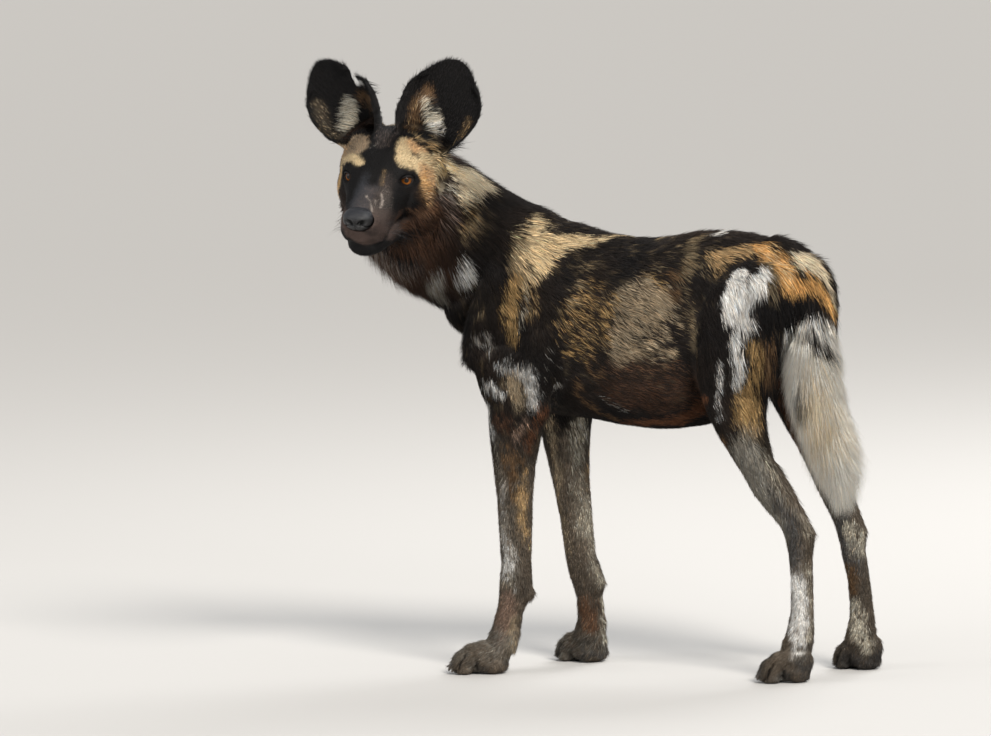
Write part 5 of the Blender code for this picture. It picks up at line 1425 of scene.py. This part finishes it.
@dataclass
class Coat:
    """The hair of the whole dog, region by region, with the seams between them in the body frame."""

    stance: Stance
    skin: Skin
    lie: Lie
    marks: Markings
    swirl: Grain = field(default_factory=lambda: Grain(SEED + 2, 3))
    ear_edge: float = -0.002
    tail_front: float = 0.27
    tail_low: float = 0.288
    tail_high: float = 0.515
    foreleg: tuple = (-0.06, 0.40)
    hindleg: tuple = (0.16, 0.42)
    neck: tuple = (-0.165, 0.48)
    nose: tuple = ((0.1000, -0.0015, -0.041), (0.018, 0.0225, 0.0170))
    lowest: float = 0.0003
    seen: float = 0.55

    def regions(self, centres: Points) -> dict[str, Points]:
        """Which places belong to each piece of the coat.

        Args:
            centres: places on the skin.

        Returns:
            A mask for each region's name.
        """
        local, body = self.stance.head.inwards(centres), self.stance.body.inwards(centres)
        x, y, z = body.T
        left_ear, right_ear = (ear.reach(local) > self.ear_edge for ear in EARS.values())
        head = (head_share(local) > 0.5) & ~left_ear & ~right_ear
        free = ~(head | left_ear | right_ear)
        tail = free & (chain_reach(body, TAIL_LINE) > -0.003) & (x > self.tail_front)
        tail &= (z < self.tail_high) & (z > self.tail_low)
        free &= ~tail
        fore = free & (x < self.foreleg[0]) & (z < self.foreleg[1])
        hind = free & (x > self.hindleg[0]) & (z < self.hindleg[1])
        free &= ~(fore | hind)
        neck = free & (x < self.neck[0]) & (z > self.neck[1])
        masks = {"ear_left": left_ear, "ear_right": right_ear & ~left_ear, "head": head, "tail": tail}
        for name, mask, left in (("neck", neck, local[:, 1] > 0), ("foreleg", fore, y < 0),
                                 ("hindleg", hind, y < 0), ("trunk", free & ~neck, y < 0)):
            masks[name + "_left"], masks[name + "_right"] = mask & left, mask & ~left
        return masks

    def bare(self, centres: Points) -> Points:
        """Where no hair stands: in the eyes' openings, on the nose, in the mouth's line and on the soles."""
        local = self.stance.head.inwards(centres)
        bare = np.linalg.norm((local - self.nose[0]) / self.nose[1], axis=1) < 1
        for eye in EYES:
            own = eye.axes(self.stance.head).inwards(centres)
            opening = eye.spread(own[:, 1], own[:, 2]) < 1.30
            bare |= opening & (own[:, 0] > 0) & (np.linalg.norm(own, axis=1) < 0.02)
        return bare | (mouth_gap(local) < 0.0012) | (self.stance.body.inwards(centres)[:, 2] < 0.004)

    def build(self) -> None:
        """Every region's tufts as joined meshes, more of them on large faces and where hair is small."""
        corners = self.skin.places[self.skin.faces]
        centres = corners.mean(axis=1)
        edges = corners[:, 1:] - corners[:, :1]
        area = 0.5 * np.linalg.norm(np.cross(edges[:, 0], edges[:, 1]), axis=1)
        free = ~self.bare(centres)
        sizes = self.lie.at(centres)[1]
        masks = self.regions(centres)
        for patch in PATCHES:
            weight = np.where(masks[patch.name] & free, area / (sizes[:, 0] * sizes[:, 1]), 0)
            if patch.name in EARS:
                weight = weight * (1 + 3 * EARS[patch.name].tufted(self.stance.head.inwards(centres)))
            self.piece(patch, weight, corners)

    def piece(self, patch: Patch, weight: Points, corners: Points) -> Piece:
        """One region's tufts.

        Args:
            patch: the region's settings.
            weight: the share of the tufts that stands on each face.
            corners: the corners of the skin's faces.

        Returns:
            The joined mesh, with colours and the map named OFBake.
        """
        rng = np.random.default_rng(SEED + sum(map(ord, patch.name)))
        total = np.cumsum(weight)
        count = patch.tufts // 1
        spots = (np.arange(count) + rng.random(count)) * total[-1] / count
        which = np.minimum(np.searchsorted(total, spots), len(weight) - 1)
        u, v = rng.random((2, count))
        over = u + v > 1
        u, v = np.where(over, 1 - u, u)[:, None], np.where(over, 1 - v, v)[:, None]
        a, b, c = np.moveaxis(corners[which], 1, 0)
        roots = a * (1 - u - v) + b * u + c * v
        na, nb, nc = np.moveaxis(self.skin.normals[self.skin.faces[which]], 1, 0)
        out = unit(na * (1 - u - v) + nb * u + nc * v)
        along, size = self.ear_lie(EARS[patch.name], roots, out) if patch.name in EARS else self.lie.at(roots)
        body = self.stance.body.inwards(roots)
        swirl = self.swirl.at(body, 0.05) * 0.25 + self.swirl.at(body, 0.013) * patch.stray * 1.5
        along = along + swirl + rng.normal(0, patch.stray * 0.5, (count, 3))
        along = unit(along - out * (along * out).sum(1)[:, None])
        across = np.cross(out, along)
        length = np.minimum(size[:, 0], patch.most) * patch.long * rng.uniform(0.65, 1.25, count)
        width = size[:, 1] * patch.wide * rng.uniform(0.7, 1.3, count)
        rise = patch.rise * size[:, 3] * rng.uniform(0.3, 1.5, count)
        curl = rng.normal(0, 0.06, count)
        places, tris = spikes(roots, along, across, out, length, width, rise, curl)
        places[:, 2] = np.maximum(places[:, 2], self.lowest)
        obj = mesh_object("coat_" + patch.name, places, tris)
        seen = roots + along * (self.seen * length)[:, None]
        colour = self.varied(self.marks.at(seen, out, rng.random(count)), rng, patch.vary)
        locks = self.swirl.at(body, 0.011)[:, :1] + 0.8 * self.swirl.at(body + 0.4, 0.032)[:, 1:2]
        # painted shade: tufts in the clefts between the toes are darkened by up to 0.85
        between = sum(paw.cleft(body, 0.0045) for paw in PAWS)[:, None]
        colour = colour * np.exp(patch.mottle * locks) * (1 - 0.85 * np.clip(between, 0, 1))
        shade = np.where(TUFT_TIP, patch.ends[1], patch.ends[0])[:, None]
        glint = rng.uniform(0, 1, count)[:, None, None] * Shade.GLINT.rgb * TUFT_TIP[:, None]
        paint(obj, (colour[:, None] * shade + glint).reshape(-1, 3))
        self.mapped(obj, patch, roots, tris)
        LOG.info("coat_%s: %d tufts, %d triangles", patch.name, count, len(tris))
        return finished(obj, TUFT_FINISH)

    def varied(self, colour: Points, rng: np.random.Generator, vary: float) -> Points:
        """Each tuft lighter or darker than its neighbours, and a little warmer or cooler."""
        light = np.exp(rng.normal(0, vary, len(colour)))[:, None]
        warm = 1 + rng.normal(0, 0.05, len(colour))[:, None] * np.array((1, 0, -1))
        return np.clip(colour * light * warm, 0, 0.95)

    def ear_lie(self, ear: EarShape, roots: Points, out: Points) -> tuple[Points, Points]:
        """On an ear the hair runs from the root to the tip and out to the rim.

        Args:
            ear: the ear.
            roots: places on it.
            out: normals there.

        Returns:
            Directions and sizes. In the pale tuft the hair is long, stands out and fans sideways from the
            inner edge; on the rest it is short, and at the rim it makes a fringe.
        """
        local = self.stance.head.inwards(roots)
        axis = ear.axis()
        across = np.cross(axis, (1, 0, 0)) * ear.side
        from_root = local - (np.array(ear.root) - axis * 0.03)
        inner = eased(out @ self.stance.head.turn[:, 0], 0.05, 0.45)
        tuft = inner * ear.tufted(local)
        medial = inner * eased(-(from_root @ across), 0.022, 0.036)
        aim = unit(from_root) + axis * 0.6
        aim = aim * (1 - 0.8 * tuft)[:, None] + tuft[:, None] * (across * 0.9 + axis * 0.3 + (0.45, 0, 0))
        aim = aim + medial[:, None] * (axis * 0.5 + (0.15, 0, 0))
        size = np.tile((0.0070, 0.0008, 0.0006, 0.16), (len(roots), 1))
        size[:, 0] += 0.009 * tuft + 0.004 * medial
        size[:, 1] += 0.0001 * tuft
        size[:, 3] += 0.20 * tuft + 0.10 * medial
        return unit(self.stance.head.aimed(unit(aim))), size

    def mapped(self, obj: Piece, patch: Patch, roots: Points, tris: Points) -> None:
        """Adds OFBake: each tuft is a patch 0.003 across at its root's place on an unwrap round the region.

        Args:
            obj: the piece.
            patch: its settings.
            roots: the tufts' roots.
            tris: the piece's triangles.
        """
        local, body = self.stance.head.inwards(roots), self.stance.body.inwards(roots)
        if patch.name == "head":
            middle = np.median(local, axis=0)
            turn, run = np.arctan2(local[:, 2] - middle[2], local[:, 1] - middle[1]), local[:, 0]
        elif patch.name in EARS:
            middle = np.median(local, axis=0)
            turn, run = np.arctan2(local[:, 1] - middle[1], local[:, 0] - middle[0]), local[:, 2]
        elif "trunk" in patch.name or "neck" in patch.name:
            turn, run = np.arctan2(body[:, 2] - 0.51, body[:, 1]), body[:, 0]
        else:
            run = body[:, 2]
            step = np.clip(((run - run.min()) / (np.ptp(run) + 1e-9) * 12).astype(int), 0, 11)
            middle = np.stack([np.bincount(step, body[:, k], 12) for k in (0, 1)], 1)
            middle = (middle / np.maximum(np.bincount(step, minlength=12), 1)[:, None])[step]
            turn = np.arctan2(body[:, 1] - middle[:, 1], body[:, 0] - middle[:, 0])
        u = 0.01 + 0.98 * (turn + math.pi) / (2 * math.pi)
        v = 0.01 + 0.98 * (run - run.min()) / (np.ptp(run) + 1e-9)
        flat = (np.stack([u, v], 1)[:, None] + TUFT_MAP).reshape(-1, 2)
        layer = obj.data.uv_layers.new(name="OFBake")
        layer.data.foreach_set("uv", flat[tris.ravel()].astype(np.float32).ravel())


PATCHES = (
    Patch("trunk_left", 45000, "dark_coat", wide=0.85), Patch("trunk_right", 32000, "dark_coat"),
    Patch("neck_left", 46000, "dark_coat", wide=0.58, rise=0.8, stray=0.13),
    Patch("neck_right", 17500, "dark_coat", wide=0.75, rise=0.8, stray=0.13),
    Patch("head", 46000, "tan_coat", stray=0.14, mottle=0.12),
    Patch("ear_left", 14000, "dark_coat", mottle=0.12), Patch("ear_right", 14000, "dark_coat", mottle=0.12),
    Patch("foreleg_left", 34000, "grey_coat", long=1.15, wide=0.75, rise=1.2, vary=0.42, most=0.014),
    Patch("foreleg_right", 26000, "grey_coat", long=1.15, wide=0.85, rise=1.2, vary=0.42, most=0.014),
    Patch("hindleg_left", 30000, "grey_coat", long=1.1, wide=0.8, rise=1.1, vary=0.34, most=0.015),
    Patch("hindleg_right", 20000, "grey_coat", long=1.1, rise=1.1, vary=0.34, most=0.015),
    Patch("tail", 44000, "white_coat", long=1.1, wide=0.58, stray=0.13, vary=0.12, mottle=0.12,
          ends=(0.90, 1.15)),
)


# -------- eyes, nose, claws


@dataclass
class EyeBall:
    """An eyeball with iris, pupil and cornea, and the dark edge of its lids."""

    eye: Eye
    head: Axes
    iris: float = math.radians(38)
    pupil: float = math.radians(15)
    bulge: float = 0.035
    lid_profile: tuple = (
        (1.06, -0.0010), (0.985, -0.0002), (0.965, 0.0004), (0.985, 0.0010), (1.05, 0.0015), (1.18, 0.0021),
        (1.40, 0.0026), (1.66, 0.0023), (1.90, 0.0010), (2.05, -0.0012), (1.80, -0.0022), (1.35, -0.0018))

    def ball(self) -> Piece:
        """A sphere with a raised cornea: R (1 + bulge eased(iris - v)) (cos v, sin v cos u, sin v sin u)."""
        rings, sides = 72, 64
        v = math.pi * (np.arange(1, rings) / rings) ** 1.4
        u = 2 * math.pi * np.arange(sides) / sides
        radius = self.eye.radius * (1 + self.bulge * eased(-v, -self.iris * 1.1, -self.iris * 0.3))
        away = radius * np.sin(v)
        grid = np.stack([np.repeat((radius * np.cos(v))[:, None], sides, 1), np.outer(away, np.cos(u)),
                         np.outer(away, np.sin(u))], -1)
        poles = self.eye.radius * np.array(((1 + self.bulge, 0, 0), (-1, 0, 0)))
        own = np.vstack([grid.reshape(-1, 3), poles])
        places = self.eye.axes(self.head).outwards(own)
        faces = turned_out(places, capped_grid(rings - 1, sides))
        obj = mesh_object("eyeball_left" if self.eye.side > 0 else "eyeball_right", places, faces)
        paint(obj, self.colours(own))
        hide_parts("eye_left" if self.eye.side > 0 else "eye_right")
        return finished(obj, EYE_FINISH)

    def colours(self, own: Points) -> Points:
        """Amber with dark spokes, in painted lid shade above and bright below, a dark ring round it and a
        round pupil.
        """
        angle = np.arccos(np.clip(own[:, 0] / np.linalg.norm(own, axis=1), -1, 1))
        round_ = np.arctan2(own[:, 2], own[:, 1])
        spokes = 0.5 + 0.5 * np.sin(round_ * 37 + 3 * np.sin(round_ * 5)) * np.sin(round_ * 23)
        # painted shade: the iris darkens upwards, as under the upper lid's shadow
        low = 0.5 - 0.5 * np.sin(round_)
        amber = np.array((0.27, 0.088, 0.014)) * (0.04 + 0.90 * low ** 1.9 + 0.12 * spokes)[:, None]
        white = np.array((0.040, 0.028, 0.022)) * eased(-angle, -math.radians(66), -math.radians(52))[:, None]
        ring = eased(angle, self.iris * 0.86, self.iris)[:, None]
        beyond = eased(angle, self.iris * 1.02, self.iris * 1.12)[:, None]
        hole = eased(-angle, -self.pupil * 1.08, -self.pupil * 0.92)[:, None]
        return blend(blend(blend(amber, 0.012, ring), white, beyond), 0.002, hole)

    def lids(self) -> Piece:
        """The two lids as one soft ring.

        Returns:
            A profile of stretch k and height carried round the opening: y = a k cos t,
            z = b k sin t (1 - 0.28 cos^2 t), at the distance R + height from the eyeball's middle. The
            profile starts under the lid, rounds its edge, runs out over the socket and dives into the skin.
        """
        eye = self.eye
        stretch, height = np.array(self.lid_profile).T
        steps, sides = 120, len(stretch)
        t = (2 * math.pi * np.arange(steps) / steps)[:, None]
        a, b = eye.opening
        crease = 0.0009 * np.exp(-((stretch - 1.30) / 0.07) ** 2) * np.clip(np.sin(t), 0, 1)
        y = a * stretch * np.cos(t)
        z = b * stretch * np.sin(t) * (1 - 0.28 * np.cos(t) ** 2) * np.where(np.sin(t) > 0, eye.hood, 1)
        wide = np.sqrt(y ** 2 + z ** 2)
        distance = eye.radius + height - crease + 0.0005 * np.clip(np.sin(t), 0, 1) * (stretch < 1.6)
        x = np.sqrt(np.maximum(distance ** 2 - wide ** 2, 0)) * (wide < distance * 0.999)
        places = eye.axes(self.head).outwards(np.stack([x, y, z], -1).reshape(-1, 3))
        ring, corner = np.meshgrid(np.arange(steps), np.arange(sides), indexing="ij")
        after, beside = (ring + 1) % steps * sides, (corner + 1) % sides
        p, q, r, s = ring * sides + corner, ring * sides + beside, after + beside, after + corner
        faces = np.concatenate([np.stack([p, q, r], -1), np.stack([p, r, s], -1)]).reshape(-1, 3)
        faces = turned_out(places, faces)
        obj = mesh_object("lids_left" if eye.side > 0 else "lids_right", places, faces)
        smooth = obj.modifiers.new("Smooth", "SUBSURF")
        smooth.levels = smooth.render_levels = 1
        paint(obj, np.tile((0.006, 0.005, 0.005), (len(places), 1)))
        return finished(obj, LID_FINISH)


@dataclass
class Nose:
    """The nose leather with its nostrils, wings and middle groove."""

    head: Axes
    centre: tuple = (0.0965, -0.0022, -0.0405)
    radii: tuple = (0.0200, 0.0220, 0.0165)
    hole: tuple = (0.0064, 0.0038)
    apart: float = 0.0088
    lean: float = math.radians(32)
    depth: float = 0.0075
    boxy: float = 0.80

    def build(self) -> Piece:
        """A boxy ellipsoid, sign(n) |n|^boxy of each part of the unit normal n.

        Returns:
            The leather, drawn in along the normal by the nostrils, their side slits and the middle groove,
            each an exp(-distance^2), and raised by the wings over them.
        """
        places, faces = ellipsoid((0, 0, 0), (1, 1, 1), 88)
        shape = places[:, [2, 0, 1]]
        x, z = shape[:, 0], shape[:, 2]
        own = np.sign(shape) * np.abs(shape) ** self.boxy * self.radii
        own[:, 1] *= 1 - 0.16 * eased(-z, -0.1, 1.0)
        own[:, 0] -= 0.0035 * eased(-z, 0.2, 1.0)
        own[:, 2] -= 0.0015 * eased(z, 0.3, 1.0) * eased(x, 0.2, 0.9)
        pits, wings = np.zeros((2, len(own)))
        c, s = math.cos(self.lean), math.sin(self.lean)
        for side in (1, -1):
            dy, dz = own[:, 1] * side - self.apart, own[:, 2] + 0.0022
            long, short = (dy * c + dz * s) / self.hole[0], (-dy * s + dz * c) / self.hole[1]
            pits += np.exp(-(long ** 2 + short ** 2) ** 1.6) * eased(x, 0.0, 0.3)
            slit = ((dy - 0.0075) / 0.0065) ** 2 + ((dz + 0.0036 + 0.25 * dy) / 0.0013) ** 2
            pits += 0.40 * np.exp(-slit) * (x > -0.3)
            wings += np.exp(-((dy - 0.004) / 0.006) ** 2 - ((dz - 0.0062) / 0.0035) ** 2) * (x > 0)
        groove = np.exp(-(own[:, 1] / 0.0008) ** 2) * eased(-own[:, 2], -0.006, 0.002) * (x > 0)
        own += unit(own) * (0.0012 * wings - self.depth * np.clip(pits, 0, 1) - 0.0014 * groove)[:, None]
        placed = self.head.outwards(own + self.centre)
        obj = mesh_object("nose_leather", placed, turned_out(placed, faces))
        # painted reflection: the top of the leather lighter and bluish, as sky light on it
        top = eased(own[:, 2], 0.000, 0.012)[:, None]
        leather = blend(Shade.LEATHER.rgb, Shade.LEATHER_TOP.rgb, top)
        # painted shade: the leather darkened nearly to black in the nostrils and their slits
        paint(obj, leather * (1.1 - np.clip(pits, 0, 1) * 1.05)[:, None])
        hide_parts("nose")
        return finished(obj, NOSE_FINISH)


@dataclass
class Claws:
    """Sixteen blunt claws, four on each paw.

    The stations of a claw hold the share of the toe's reach, metres beyond it, the height and the half width.
    """

    body: Axes
    stations: tuple = ((0.84, 0, 0.0150, 0.0034), (0.93, 0, 0.0140, 0.0036), (1, -0.0015, 0.0110, 0.0029),
                       (1, 0.0020, 0.0060, 0.0017), (1, 0.0028, 0.0030, 0.0006))
    spread: tuple = (1.0, 1.01, 1.02, 1.02, 1.02)

    def build(self) -> Piece:
        """Each claw is a tapered tube, curved down, from inside the toe to its tip."""
        parts, count = [], 0
        for paw in PAWS:
            heel, fore, side = paw.axes()
            for across, far in zip(paw.spread, paw.reach):
                rows = []
                for (share, beyond, level, half), wide in zip(self.stations, self.spread):
                    x, y = far * paw.length * share + beyond, across * paw.width * wide
                    place = heel + fore * x + side * y + (0, 0, level)
                    rows.append((*place, half * 0.85, half * 1.1, half * 1.1))
                places, faces = lofted(rows, side, 12, 3)
                parts.append((places, faces + count))
                count += len(places)
        places, faces = (np.vstack(stack) for stack in zip(*parts))
        obj = mesh_object("claws", self.body.outwards(places), faces)
        pale = eased(-places[:, 2], -0.014, -0.004)[:, None]
        paint(obj, blend(Shade.CLAW.rgb, Shade.CLAW_TIP.rgb, pale))
        return finished(obj, CLAW_FINISH)


@dataclass
class Whiskers:
    """Stiff dark hairs in three rows on each side of the upper lip."""

    head: Axes
    starts: tuple = ((88, 27, -47), (84, 29, -55), (78, 31, -63))
    step: tuple = (-8.5, 1.6, -0.6)
    length: float = 0.036
    radius: float = 0.00022
    lean: tuple = (-0.62, 0.75, -0.12)
    droop: tuple = (0, 0, 0.22)

    def build(self) -> Piece:
        """Tapered tubes of four sides, swept back and drooping.

        Returns:
            For t = 0 to 1 along each hair the middle line root + L (t run - t^2 droop) and the radius
            r (1 - t), closed at the skin and by a point at the tip.
        """
        rows = [np.array(start) + k * np.array(self.step) for start in self.starts for k in range(4)]
        roots = np.array(rows) * MM
        rng = np.random.default_rng(SEED + 7)
        reach = self.length * rng.uniform(0.7, 1.2, len(roots))
        run = unit(np.array(self.lean) + rng.normal(0, 0.10, roots.shape))
        roots, run = (np.vstack([part, part * (1, -1, 1)]) for part in (roots, run))
        reach = np.tile(reach, 2)[:, None, None]
        side = unit(np.cross(run, (0, 0, 1)))
        over = np.cross(side, run)
        t = np.linspace(0, 0.92, 6)[None, :, None]
        line = roots[:, None] + reach * (t * run[:, None] - t ** 2 * np.array(self.droop))
        angle = 2 * math.pi * np.arange(4) / 4
        around = side[:, None] * np.cos(angle)[None, :, None] + over[:, None] * np.sin(angle)[None, :, None]
        rings = line[:, :, None] + (self.radius * (1 - t))[..., None] * around[:, None]
        ends = np.stack([line[:, 0], roots + reach[:, 0] * (run - np.array(self.droop))], 1)
        places = np.concatenate([rings.reshape(len(roots), -1, 3), ends], axis=1)
        first = np.arange(len(roots)) * places.shape[1]
        faces = (capped_grid(6, 4)[None] + first[:, None, None]).reshape(-1, 3)
        places = self.head.outwards(places.reshape(-1, 3))
        obj = mesh_object("whiskers", places, turned_out(places, faces))
        paint(obj, np.tile((0.012, 0.010, 0.010), (len(places), 1)))
        LOG.info("whiskers: %d hairs", len(roots))
        return finished(obj, CLAW_FINISH)


# -------- studio


@dataclass
class Studio:
    """Plain pale floor, soft light and the camera at the photograph's angle and framing."""

    body: Axes
    target: tuple = (-0.22, 0.0, 0.4345)
    azimuth: float = math.radians(28)
    elevation: float = math.radians(5)
    roll: float = math.radians(-1.94)
    distance: float = 14.0
    lens: float = 350.92
    half_floor: float = 60.0

    def build(self) -> None:
        """Adds the floor, the lights and the camera."""
        self.floor()
        self.lights()
        self.camera()

    def camera(self) -> None:
        """right = cos(roll) r + sin(roll) u and up = -sin(roll) r + cos(roll) u."""
        azimuth, elevation = self.azimuth, self.elevation
        away = np.array((math.sin(azimuth) * math.cos(elevation), -math.cos(azimuth) * math.cos(elevation),
                         math.sin(elevation)))
        place = self.body.outwards(np.array(self.target)) + self.distance * away
        level = unit(np.cross(-away, (0, 0, 1)))
        above = np.cross(level, -away)
        right = math.cos(self.roll) * level + math.sin(self.roll) * above
        up = -math.sin(self.roll) * level + math.cos(self.roll) * above
        data = bpy.data.cameras.new("camera")
        data.lens, data.sensor_width, data.clip_end = self.lens, 36.0, 100.0
        camera = bpy.data.objects.new("camera", data)
        bpy.context.collection.objects.link(camera)
        matrix = np.eye(4)
        matrix[:3] = np.stack([right, up, away, place], axis=1)
        camera.matrix_world = Matrix(matrix.tolist())
        bpy.context.scene.camera = camera

    def floor(self) -> None:
        """A flat pale sheet, the same on every side of the dog, a hair below z = 0."""
        columns = 25
        line = np.linspace(-self.half_floor, self.half_floor, columns)
        x, y = np.meshgrid(line, line, indexing="ij")
        places = np.stack([x, y, np.full_like(x, -0.0006)], -1).reshape(-1, 3)
        row, col = np.meshgrid(np.arange(columns - 1), np.arange(columns - 1), indexing="ij")
        a = row * columns + col
        faces = np.stack([a, a + columns, a + columns + 1, a + 1], -1).reshape(-1, 4)
        floor = mesh_object("floor", places, faces)
        material = bpy.data.materials.new("studio_floor")
        material.use_nodes = True
        tree = material.node_tree
        shader = tree.nodes["Principled BSDF"]
        noise = value_node(tree, "ShaderNodeTexNoise", Scale=3.0)
        ramp = tree.nodes.new("ShaderNodeValToRGB")
        ramp.color_ramp.elements[0].color = (0.50, 0.49, 0.475, 1)
        ramp.color_ramp.elements[1].color = (0.54, 0.53, 0.515, 1)
        tree.links.new(noise.outputs["Fac"], ramp.inputs["Fac"])
        tree.links.new(ramp.outputs["Color"], shader.inputs["Base Color"])
        shader.inputs["Roughness"].default_value = 0.9
        floor.data.materials.append(material)

    def lights(self) -> None:
        """A soft key above the camera's right, a low light there, a fill, one behind and a pale world."""
        for name, kind, place, size, power in (
            ("key", "SUN", (3.2, -2.6, 3.3), math.radians(17), 3.7),
            ("fill", "AREA", (-3.4, -2.6, 1.8), 3.0, 56.0),
            ("back", "AREA", (0.6, 3.0, 3.2), 2.5, 110.0), ("low", "AREA", (2.9, -2.7, 1.75), 1.1, 55.0),
        ):
            data = bpy.data.lights.new(name, kind)
            data.energy = power
            if kind == "SUN":
                data.angle, data.color = size, (1.0, 0.95, 0.88)
            else:
                data.size = size
            light = bpy.data.objects.new(name, data)
            light.location = place
            light.rotation_euler = (Vector((0, 0, 0.4)) - Vector(place)).to_track_quat("-Z", "Y").to_euler()
            bpy.context.collection.objects.link(light)
        world = bpy.data.worlds.new("studio")
        world.use_nodes = True
        background = world.node_tree.nodes["Background"]
        background.inputs["Color"].default_value = (0.86, 0.87, 0.88, 1)
        background.inputs["Strength"].default_value = 0.55
        bpy.context.scene.world = world
        bpy.context.scene.view_settings.view_transform = "Standard"


# -------- the whole dog


def main() -> None:
    """Builds every piece in order."""
    stance = Stance.from_frame()
    marks = Markings(stance)
    lie = Lie(stance)
    skin = Skin(stance, lie)
    shell = skin.build()
    paint(shell, marks.under(skin.places, skin.normals))
    finished(shell, SKIN_FINISH)
    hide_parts(*FLESH, "neck", "tail_brush")
    Coat(stance, skin, lie, marks).build()
    for eye in EYES:
        ball = EyeBall(eye, stance.head)
        ball.ball()
        ball.lids()
    Nose(stance.head).build()
    Claws(stance.body).build()
    Whiskers(stance.head).build()
    Studio(stance.body).build()


if __name__ == "__main__":
    main()
